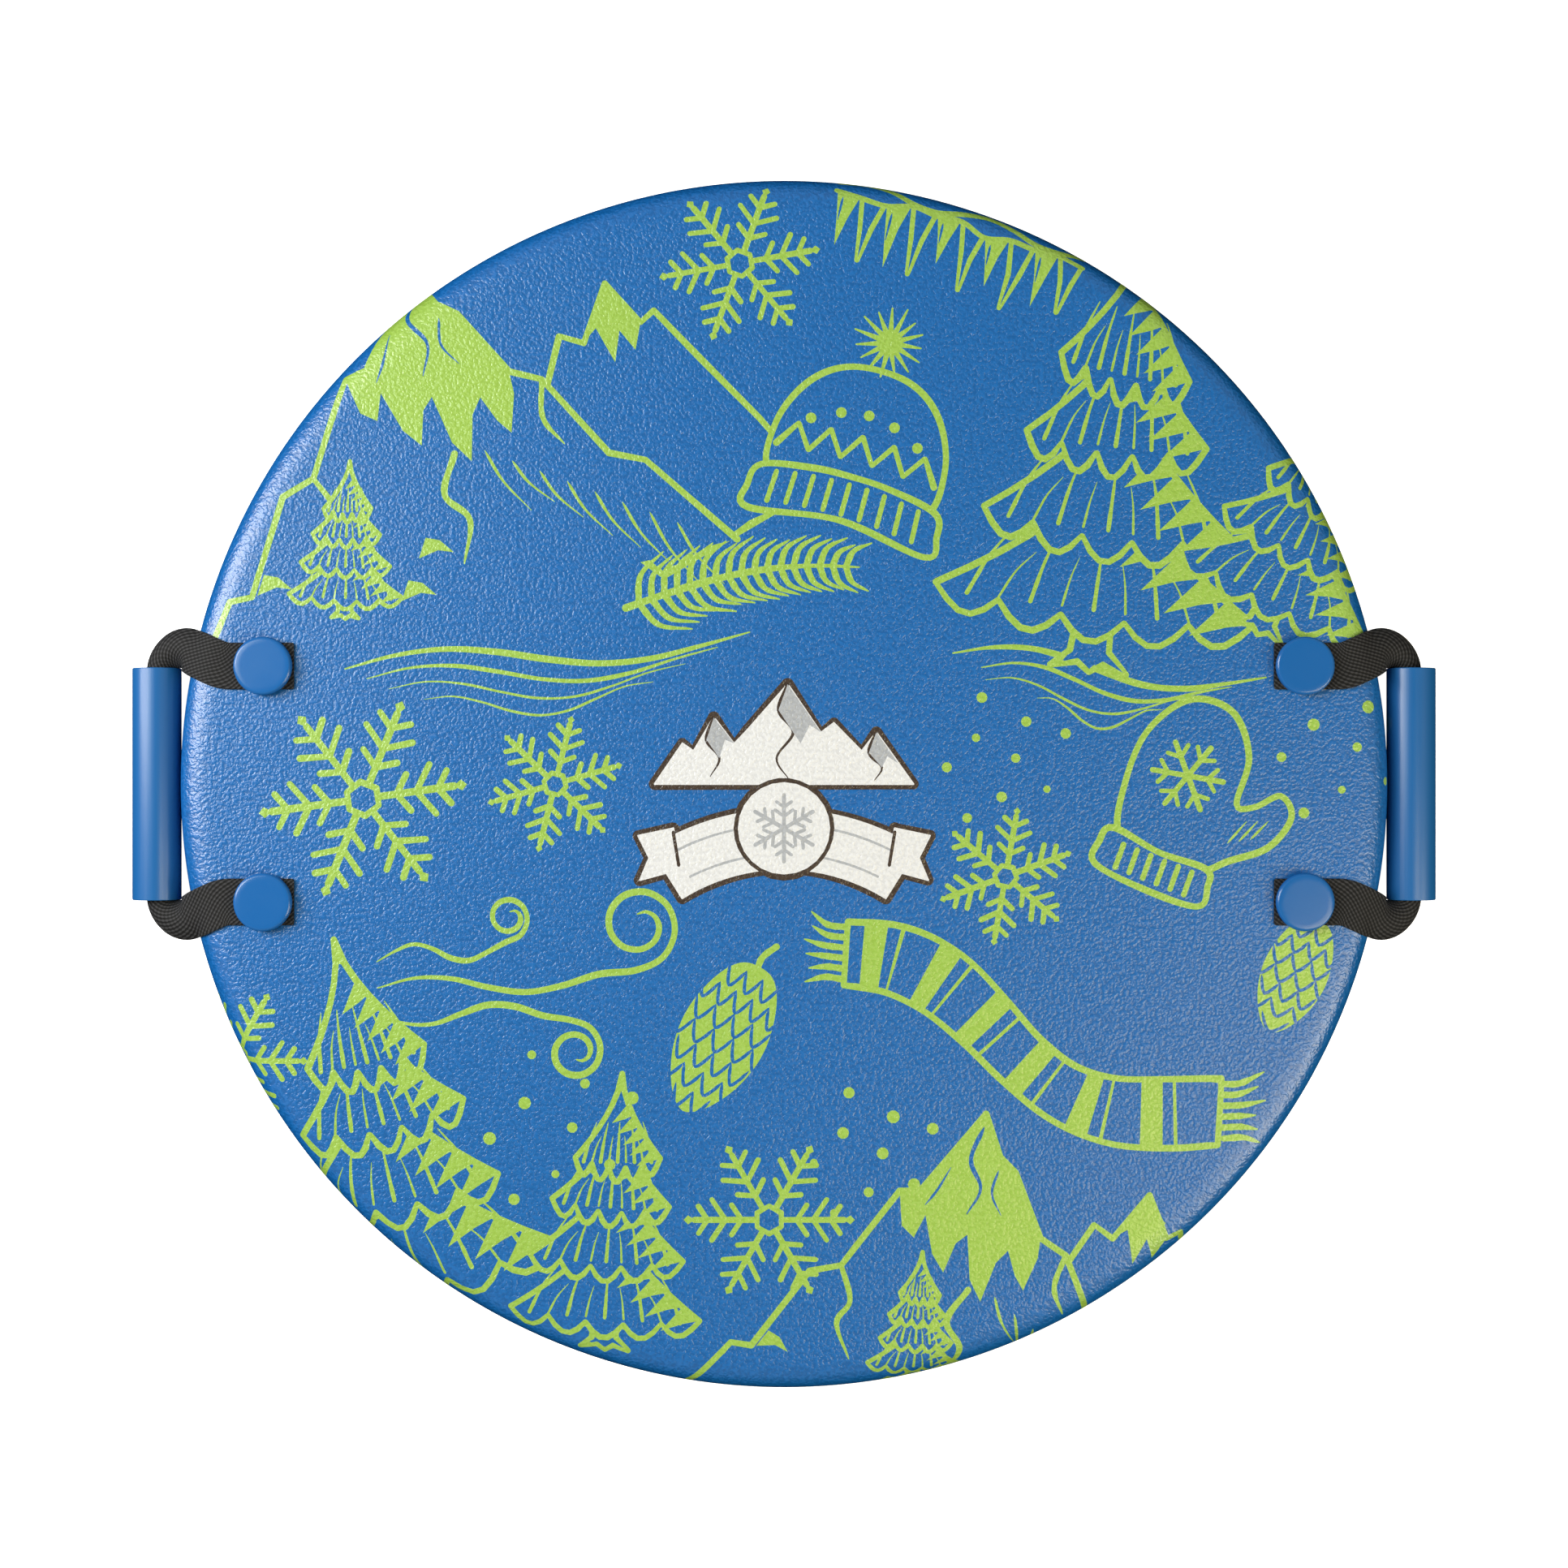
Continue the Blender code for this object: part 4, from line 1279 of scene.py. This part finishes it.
    def skin(self, marks: Sequence[Mark], films: dict[Ink, Material]) -> Object:
        """Cuts the print's outlines into the film and wraps it over the rim.

        Args:
            marks: the print, in the order in which it is inked.
            films: the material of each ink.

        Returns:
            The printed skin.
        """
        distances, profile, normals = self.unrolled()
        edge_mm, flat = distances[-1], self.radius - self.shoulder_width
        widest = np.argmin(np.abs(profile[:, 1] - self.widest_z) + (profile[:, 0] < flat))
        print_mm = distances[widest] + self.print_below_mm
        count = 1 + round((edge_mm - flat / MM) / self.rim_step_mm)
        rings = np.linspace(flat / MM, edge_mm, count)
        rings[np.argmin(np.abs(rings - print_mm))] = print_mm
        spots, corners = self.plan(marks, rings, print_mm)
        middles = spots[corners].mean(axis=1)
        reach = np.hypot(middles[:, 0], middles[:, 1])
        inks = np.zeros(len(corners), int)
        order = list(films)
        for mark in marks:
            inks[mark.covers(middles)] = order.index(mark.ink)
        inks[reach > print_mm] = order.index(Ink.FILM)
        keep = reach < edge_mm - END_TRIM_MM
        for corner in self.corners:
            away = np.hypot(middles[:, 0] - corner.x / MM, middles[:, 1] - corner.y / MM)
            keep &= away > self.hole_radius / MM * HOLE_TRIM
        used, index = np.unique(corners[keep], return_inverse=True)
        spots = spots[used]
        distance = np.hypot(spots[:, 0], spots[:, 1])
        around = spots / np.maximum(distance, 1e-9)[:, None]
        radius, height = (np.interp(distance, distances, column) for column in profile.T)
        out, up = (np.interp(distance, distances, column) for column in normals.T)
        mesh = bpy.data.meshes.new("printed_skin")
        verts = np.column_stack([around * radius[:, None], height])
        mesh.from_pydata(verts.tolist(), [], index.reshape(-1, 3).tolist())
        mesh.shade_smooth()
        piece = add_piece("printed_skin", mesh, *films.values())
        mesh.polygons.foreach_set("material_index", inks[keep].astype(np.int32))
        facing = np.column_stack([around * out[:, None], up]) / np.hypot(out, up)[:, None]
        mesh.normals_split_custom_set_from_vertices([Vector(way) for way in facing])
        mesh.update()
        return piece

    def core(self, material: Material) -> Object:
        """Turns the foam core and cuts the fasteners' holes.

        Args:
            material: the foam's material.

        Returns:
            The core.
        """
        inset = self.skin_thickness + self.layer_gap
        step = self.hem_radius - self.layer_gap
        profile = [(0.0, self.thickness - inset), *self.rim(inset, 12)]
        profile += [(step, self.hem_z + inset), (step, self.hem_z), (0.0, self.hem_z)]
        piece = add_piece("foam_core_beads", turned_mesh("foam_core", profile, 180), material)
        cut_out(piece, self.hole(), self.corners)
        return piece

    def hole(self) -> Mesh:
        """The shape that one fastener's flange and sleeve need in the foam and the sheet.

        Returns:
            The shape's mesh.
        """
        below, top, sleeve, pocket = -2 * MM, self.thickness, self.sleeve_radius, self.pocket_radius
        profile = [(0.0, top), (sleeve, top), (sleeve, self.pocket_top + self.fillet)]
        profile += [(sleeve + self.fillet, self.pocket_top), (pocket, self.pocket_top)]
        return turned_mesh("fastener_hole", [*profile, (pocket, below), (0.0, below)], 48)

    def slick(self, material: Material) -> Object:
        """Turns the slick sheet and cuts the fasteners' holes.

        Args:
            material: the sheet's material.

        Returns:
            The sheet.
        """
        edge, lip = self.radius - self.tuck_width - self.slick_setback, self.slick_edge
        profile = [(0.0, self.slick_thickness), (edge, self.slick_thickness)]
        # The ring inside the rounded edge keeps its shading off the flat face
        profile += [*arc((edge - lip, lip), 0, -90, 4, lip), (edge - 2 * lip, 0.0), (0.0, 0.0)]
        mesh = turned_mesh("slick_sheet", profile, 240)
        piece = add_piece("slick_running_sheet", mesh, material)
        cut_out(piece, self.hole(), self.corners)
        return piece


@dataclass
class ButtonFastener:
    """One screwed fastener: a button above and the plug that it screws into below."""

    name: str
    place: Vector
    head_radius: float = 0.01575
    under_z: float = 0.0402
    top_z: float = 0.0444
    edge_radius: float = 0.0018
    skirt: float = 0.0004
    post_radius: float = 0.004
    post_tip_z: float = 0.0045
    post_chamfer: float = 0.0012
    flange_radius: float = 0.015
    flange_edge: float = 0.0006
    face_z: float = 0.0003
    flange_top_z: float = 0.0029
    sleeve_radius: float = 0.006
    sleeve_top_z: float = 0.0367
    socket_radius: float = 0.0043
    socket_floor_z: float = 0.0025
    fillet: float = 0.0008
    slot_length: float = 0.019
    slot_width: float = 0.0024
    slot_depth: float = 0.001
    steps: int = 72

    def turned(self, name: str, profile: Sequence[Point], material: Material) -> Object:
        """Turns a piece of the fastener about its axis.

        Args:
            name: the piece's kind, before its place in its name.
            profile: its (radius, height) points in order.
            material: its material.

        Returns:
            The piece.
        """
        mesh = turned_mesh(name, profile, self.steps)
        mesh.transform(Matrix.Translation(self.place))
        return add_piece(f"{name}_{self.name}", mesh, material)

    def button(self, material: Material) -> Object:
        """Turns the button's head and post.

        Args:
            material: the button's material.

        Returns:
            The button.
        """
        head, lip, post, tip = self.head_radius, self.edge_radius, self.post_radius, self.post_tip_z
        profile = [
            (0.0, self.top_z),
            (head - 2.2 * lip, self.top_z),
            *arc((head - lip, self.top_z - lip), 90, 0, 7, lip),
            (head, self.under_z + self.skirt),
            (head - self.skirt, self.under_z),
            (post, self.under_z),
            (post, tip + self.post_chamfer),
            (post - self.post_chamfer, tip),
            (0.0, tip),
        ]
        return self.turned("round_button", profile, material)

    def plug(self, material: Material) -> Object:
        """Turns the plug's flange and sleeve and cuts its coin slot.

        Args:
            material: the plug's material.

        Returns:
            The plug.
        """
        flange, lip, face = self.flange_radius, self.flange_edge, self.face_z
        profile = [
            (0.0, self.socket_floor_z),
            (self.socket_radius, self.socket_floor_z),
            (self.socket_radius, self.sleeve_top_z),
            (self.sleeve_radius, self.sleeve_top_z),
            (self.sleeve_radius, self.flange_top_z + self.fillet),
            (self.sleeve_radius + self.fillet, self.flange_top_z),
            (flange, self.flange_top_z),
            *arc((flange - lip, face + lip), 0, -90, 4, lip),
            (flange - 2 * lip, face),
            (0.0, face),
        ]
        piece = self.turned("coin_slot_plug", profile, material)
        end, reach = self.slot_width / 2, (self.slot_length - self.slot_width) / 2
        plan = arc((reach, 0), -90, 90, 8, end) + arc((-reach, 0), 90, 270, 8, end)
        count = len(plan)
        verts = [(x, y, z) for z in (-self.slot_depth, self.slot_depth) for x, y in plan]
        faces = [tuple(range(count))[::-1], tuple(range(count, 2 * count))]
        for i in range(count):
            j = (i + 1) % count
            faces.append((i, j, j + count, i + count))
        slot = bpy.data.meshes.new("coin_slot")
        slot.from_pydata(verts, [], faces)
        cut_out(piece, slot, [self.place + Vector((0, 0, face))])
        return piece


@dataclass
class WebbingHandle:
    """One handle: a strap from button to button, and the loose grip tube that it runs through."""

    side: Side
    width: float = 0.0254
    thickness: float = 0.0016
    button_x: float = 0.281454
    button_y: float = 0.063825
    tab_reach: float = 0.01635
    tab_corner: float = 0.0012
    crease_x: float = 0.299504
    web_z: float = 0.0391
    lead_radius: float = 0.020
    run_length: float = 0.01815
    turn_radius: float = 0.0123
    splay_deg: float = 24.0
    drop_start: float = 0.00351
    curl_start: float = 0.01251
    mouth_inset: float = 0.0018
    curl_radius: float = 0.007128
    crown_z: float = 0.026145
    tube_x: float = 0.3442
    tube_z: float = 0.0183
    tube_radius: float = 0.0132
    tube_wall: float = 0.0020
    tube_length: float = 0.127
    lip: float = 0.0006
    hole_radius: float = 0.0043
    rest_gap: float = 0.0003
    slump: float = 0.0019
    slump_reach: float = 0.0100
    deck: FoamDeck = field(default_factory=FoamDeck)
    hinge_start: float = -0.0003
    hinge_end: float = 0.0055
    steps_across: int = 20
    edge_steps: int = 5
    ring_step: float = 0.0010
    tube_ring_step: float = 0.0040

    @staticmethod
    def ease(share: float) -> float:
        """Rises smoothly from 0 to 1, and stays there."""
        share = min(max(share, 0.0), 1.0)
        return share * share * (3 - 2 * share)

    @property
    def splay(self) -> float:
        """The angle at which the straight run leaves the button, in radians."""
        return math.radians(self.splay_deg)

    @property
    def path_length(self) -> float:
        """The strap's length from the crease to the mouth of the tube."""
        turn = self.turn_radius * (self.splay + math.pi / 2)
        return self.lead_radius * self.splay + self.run_length + turn

    @property
    def settle(self) -> float:
        """How far past the crease the strap has all its drop and its curl."""
        return self.path_length - self.mouth_inset

    @property
    def tab_start(self) -> float:
        """Where the strap's cut end lies, before the crease."""
        return self.button_x - self.tab_reach - self.crease_x

    def heading(self, distance: float) -> tuple[float, float, float]:
        """The middle line's plan angle and place at a distance past the crease.

        Args:
            distance: how far past the crease, below 0 under the button.

        Returns:
            The angle in radians, and the place along X and Y.
        """
        splay, lead, turn = self.splay, self.lead_radius, self.turn_radius
        if distance <= 0:
            return 0.0, self.crease_x + distance, self.button_y
        angle = min(distance / lead, splay)
        x = self.crease_x + lead * math.sin(angle)
        y = self.button_y + lead * (1 - math.cos(angle))
        run = min(max(distance - lead * splay, 0.0), self.run_length)
        x += run * math.cos(angle)
        y += run * math.sin(angle)
        past = max(distance - lead * splay - run, 0.0)
        if past > 0:
            angle = splay - min(past / turn, splay + math.pi / 2)
            x += turn * (math.sin(splay) - math.sin(angle))
            y += turn * (math.cos(angle) - math.cos(splay))
        return angle, x, y - max(0.0, distance - self.path_length)

    def height(self, distance: float) -> float:
        """The middle line's height at a distance past the crease."""
        fallen = self.ease((distance - self.drop_start) / (self.settle - self.drop_start))
        return self.web_z + (self.crown_z - self.web_z) * fallen

    def ring(self, distance: float) -> tuple[list[Vector], list[float]]:
        """One closed section of the strap, and each point's way round it.

        Args:
            distance: how far past the crease it lies.

        Returns:
            The section's points, and the distance round the section at each.
        """
        angle, x, y = self.heading(distance)
        half, steps = self.thickness / 2, self.steps_across
        slope = (self.height(distance + half) - self.height(distance - half)) / self.thickness
        forward = Vector((math.cos(angle), math.sin(angle), slope)).normalized()
        sideways = Vector((math.sin(angle), -math.cos(angle), 0))
        upward = sideways.cross(forward)
        middle = Vector((x, y, self.height(distance)))
        curled = self.ease((distance - self.curl_start) / (self.settle - self.curl_start))
        # The cut end's corners are rounded
        lack = max(self.tab_start + self.tab_corner - distance, 0.0)
        corner = self.tab_corner - math.sqrt(max(self.tab_corner**2 - lack**2, 0.0))
        half_width = self.width / 2 - corner
        flat = half_width - half
        spots = [(flat * (2 * i / steps - 1), half) for i in range(steps + 1)]
        spots += arc((flat, 0), 90, -90, self.edge_steps, half)[1:-1]
        spots += [(-across, -layer) for across, layer in spots]

        def bent(across: float, layer: float) -> Vector:
            """The place of a spot of the flat section once the strap is curled.

            Args:
                across: how far it lies to the side of the middle.
                layer: how far it lies above the middle.

            Returns:
                The place.
            """
            if curled < 1e-5:
                return middle + sideways * across + upward * layer
            radius = self.curl_radius / curled
            out = (radius + layer) * math.sin(across / radius)
            rise = (radius + layer) * math.cos(across / radius) - radius
            return middle + sideways * out + upward * rise

        # The slack inner edge of the bend slumps towards the end of the tube
        slumped = self.ease(1 - abs((distance - self.path_length) / self.slump_reach + 1))
        points, ways = [], [-half_width]
        for k, (across, layer) in enumerate(spots):
            if k:
                ways.append(ways[-1] + math.dist(spots[k - 1], spots[k]))
            # The slack webbing lies on the rounded edge of the deck, and bends up where it must
            under = bent(across, -half)
            lift = self.deck.top_at(math.hypot(under.x, under.y)) + self.rest_gap - under.z
            slack = self.slump * self.ease(across / half_width) * slumped
            points.append(bent(across, layer) + Vector((0, -slack, max(lift, 0.0))))
        return points, ways

    def strap(self, material: Material) -> Object:
        """Lofts the strap from the front tab, through the tube, to the rear tab.

        Args:
            material: the webbing's material.

        Returns:
            The strap, as one mesh with the weave's map.
        """
        start, end = self.tab_start, self.path_length
        count = round((end - start) / self.ring_step)
        distances = [start + (end - start) * i / count for i in range(count + 1)]
        distances += [start + share * self.tab_corner for share in (0.08, 0.25, 0.5)]
        distances.sort()
        inner = self.tube_length / 2 - self.mouth_inset
        count = round(inner / self.tube_ring_step)
        distances += [end + inner * (i + 1) / count for i in range(count)]
        rows = [(distance, *self.ring(distance)) for distance in distances]
        for distance, points, ways in rows[-2::-1]:
            mirrored = [Vector((p.x, -p.y, p.z)) for p in points]
            rows.append((2 * distances[-1] - distance, mirrored, ways))
        size = len(rows[0][1])
        verts = [(p.x * self.side.value, p.y, p.z) for _, points, _ in rows for p in points]
        faces, maps = [], []
        for r, (low, high) in enumerate(zip(rows, rows[1:])):
            a, b = r * size, (r + 1) * size
            # The last facet of a section ends where the way round it closes
            close = low[2][-1] + self.thickness / 2
            for i in range(size):
                j = (i + 1) % size
                faces.append((a + i, a + j, b + j, b + i))
                for row, k in ((low, i), (low, j), (high, j), (high, i)):
                    maps.append((row[0], close if j == k == 0 else row[2][k]))
        last = len(verts) - size
        faces += [tuple(range(size))[::-1], tuple(range(last, last + size))]
        maps += [(rows[0][0], way) for way in rows[0][2][::-1]]
        maps += [(rows[-1][0], way) for way in rows[-1][2]]
        mesh = bpy.data.meshes.new("webbing_strap")
        mesh.from_pydata(verts, [], faces)
        layer = mesh.uv_layers.new(name=WovenWebbing.map_name)
        layer.data.foreach_set("uv", np.array(maps, np.float32).ravel())
        shape = bmesh.new()
        shape.from_mesh(mesh)
        face_outwards(shape, mesh)
        piece = add_piece("webbing_strap_" + self.side.name.lower(), mesh, material)
        radius, reach, x = self.hole_radius, 2 * self.thickness, self.side.value * self.button_x
        punch = [(0.0, reach), (radius, reach), (radius, -reach), (0.0, -reach)]
        places = [Vector((x, y, self.web_z)) for y in (self.button_y, -self.button_y)]
        cut_out(piece, turned_mesh("punch", punch, 32), places)
        return piece

    def grip(self, material: Material) -> Object:
        """Turns the grip tube and lays it along Y.

        Args:
            material: the tube's material.

        Returns:
            The tube.
        """
        lip, end = self.lip, self.tube_length / 2 - self.lip
        outer, bore = self.tube_radius - lip, self.tube_radius - self.tube_wall + lip
        lips = {90: (outer, end), 0: (outer, -end), 270: (bore, -end), 180: (bore, end)}
        profile = []
        for turn, middle in lips.items():
            profile += arc(middle, turn, turn - 90, 5, lip)
        mesh = turned_mesh("grip_tube", profile, 96, closed=True)
        place = Matrix.Translation((self.side.value * self.tube_x, 0, self.tube_z))
        mesh.transform(place @ Matrix.Rotation(math.pi / 2, 4, "X"))
        return add_piece("grip_sleeve_" + self.side.name.lower(), mesh, material)

    def hang(self, strap: Object) -> None:
        """Args:
            strap: the strap, whose mesh is final.
        """
        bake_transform(strap)


@dataclass(frozen=True)
class Softbox:
    """One area light: its place, size and power, aimed at the sled."""

    name: str
    place: tuple[float, float, float]
    size: tuple[float, float]
    watts: float
    colour: str


@dataclass
class Studio:
    """The floor, the soft lights and the camera that looks straight down."""

    lens_mm: float = 60.0
    sensor_mm: float = 36.0
    camera_z: float = 1.453
    floor_radius: float = 6.0
    cove_radius: float = 1.5
    wall_height: float = 5.0
    floor_z: float = -0.0006
    # Brightness of the surround by the height of the direction, from below the floor to overhead
    heights: tuple[float, ...] = (-0.30, 0.02, 0.50, 0.70, 0.84, 0.93, 1.00)
    levels: tuple[float, ...] = (0.003, 0.013, 0.32, 0.48, 0.25, 0.09, 0.06)
    softboxes: tuple[Softbox, ...] = (
        Softbox("key softbox", (-1.02, 0.38, 1.75), (0.7, 0.7), 9.0, "F6FFF8"),
        Softbox("tall key strip", (-1.45, 0.44, 1.00), (0.8, 1.1), 31.0, "FFFDFA"),
        Softbox("fill softbox", (0.84, -0.55, 1.75), (0.7, 0.7), 9.0, "FFEDB8"),
        Softbox("tall fill strip", (1.40, -0.80, 0.95), (0.9, 0.8), 15.0, "FFF6E0"),
    )

    def floor(self, material: Material) -> None:
        """Lays the paper floor, which rises in a cove all round.

        Args:
            material: the paper's material.
        """
        flat, cove = self.floor_radius - self.cove_radius, self.cove_radius
        profile = [(0, self.floor_z), *arc((flat, self.floor_z + cove), -90, 0, 12, cove)]
        profile.append((self.floor_radius, self.wall_height))
        floor = add_piece("paper_floor", turned_mesh("paper_floor", profile, 96), material)
        # The lit paper is only seen: it doesn't mirror in the rim, light it or stand in the light
        floor.visible_glossy = floor.visible_diffuse = floor.visible_shadow = False

    def light(self) -> None:
        """Hangs the softboxes and sets the pale surround."""
        world = bpy.data.worlds.new("pale studio")
        world.use_nodes = True
        tree = world.node_tree
        way = add_node(tree, "TexCoord", {}, "Generated")
        rise = add_node(tree, "SeparateXYZ", {0: way}, "Z")
        share = add_node(tree, "MapRange", {0: rise, 1: -1.0})
        ramp = add_node(tree, "ValToRGB", {0: share})
        stops = ramp.node.color_ramp.elements
        while len(stops) < len(self.heights):
            stops.new(0.5)
        for stop, height, level in zip(stops, self.heights, self.levels):
            stop.position = (height + 1) / 2
            stop.color = (level, level, level, 1)
        feed(tree.nodes["Background"], {"Color": ramp})
        bpy.context.scene.world = world
        for box in self.softboxes:
            lamp = bpy.data.lights.new(box.name, "AREA")
            lamp.shape = "RECTANGLE"
            lamp.size, lamp.size_y = box.size
            lamp.energy, lamp.color = box.watts, linear(box.colour)[:3]
            holder = bpy.data.objects.new(box.name, lamp)
            holder.location = box.place
            holder.rotation_euler = (-Vector(box.place)).to_track_quat("-Z", "Y").to_euler()
            bpy.context.scene.collection.objects.link(holder)

    def camera(self) -> None:
        """Sets the camera over the middle of the disc, as the photograph has it."""
        lens = bpy.data.cameras.new("camera")
        lens.lens, lens.sensor_width = self.lens_mm, self.sensor_mm
        camera = bpy.data.objects.new("camera", lens)
        camera.location = (0.0, 0.0, self.camera_z)
        scene = bpy.context.scene
        scene.collection.objects.link(camera)
        scene.camera = camera
        scene.view_settings.view_transform = "Standard"
        scene.view_settings.look = "None"


def settle(piece: Object, body: str | None, slot: str, *nodes: str) -> None:
    """Seats a piece: it rides on a body and stands for CAD nodes.

    Args:
        piece: the piece.
        body: the CAD body that it rides on, or None for a piece that spans two, which then rides on
            none.
        slot: the record's material slot; not used.
        *nodes: the CAD nodes that it stands for.
    """
    if body is not None:
        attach(piece, body)
    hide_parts(*nodes)
    LOG.info("%s: %d faces, stands for %s", piece.name, len(piece.data.polygons), ", ".join(nodes))


def main() -> None:
    """Builds the sled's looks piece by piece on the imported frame."""
    logging.basicConfig(level=logging.INFO, format="%(name)s: %(message)s")
    for thing in list(bpy.data.objects):
        bpy.data.objects.remove(thing, do_unlink=True)
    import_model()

    handles = {side.name.lower(): WebbingHandle(side) for side in Side}
    corners = {
        f"{row}_{name}": Vector((handle.side.value * handle.button_x, sign * handle.button_y, 0))
        for name, handle in handles.items()
        for row, sign in (("front", 1), ("rear", -1))
    }
    deck = FoamDeck(corners=tuple(corners.values()))
    marks = DeckPrint().draw()
    LOG.info("the print has %d marks", len(marks))
    films = {ink: PrintedFilm(ink).build() for ink in Ink}
    settle(deck.skin(marks, films), "deck", "printed_skin", "deck_skin")
    core = deck.core(BeadFoam().build())
    settle(core, "deck", "foam", "foam_core")
    settle(deck.slick(SlickSheet().build()), "deck", "slick_sheet", "slick_bottom")

    button_finish = MouldedPolypropylene("moulded polypropylene button").build()
    plug_finish = MouldedPolypropylene("moulded polypropylene plug", "1B65AC", 0.40).build()
    for name, place in corners.items():
        fastener = ButtonFastener(name, place)
        settle(fastener.button(button_finish), "deck", "button", "button_" + name)
        settle(fastener.plug(plug_finish), "deck", "plug", "lock_plug_" + name)

    webbing, tube_finish = WovenWebbing().build(), ExtrudedTube().build()
    for name, handle in handles.items():
        strap = handle.strap(webbing)
        handle.hang(strap)
        nodes = ["strap_loop_" + name, "strap_tab_front_" + name, "strap_tab_rear_" + name]
        settle(strap, None, "webbing", *nodes)
        settle(handle.grip(tube_finish), "grip_" + name, "tube", "grip_tube_" + name)

    studio = Studio()
    studio.floor(PaperSweep().build())
    studio.light()
    studio.camera()


if __name__ == "__main__":
    main()
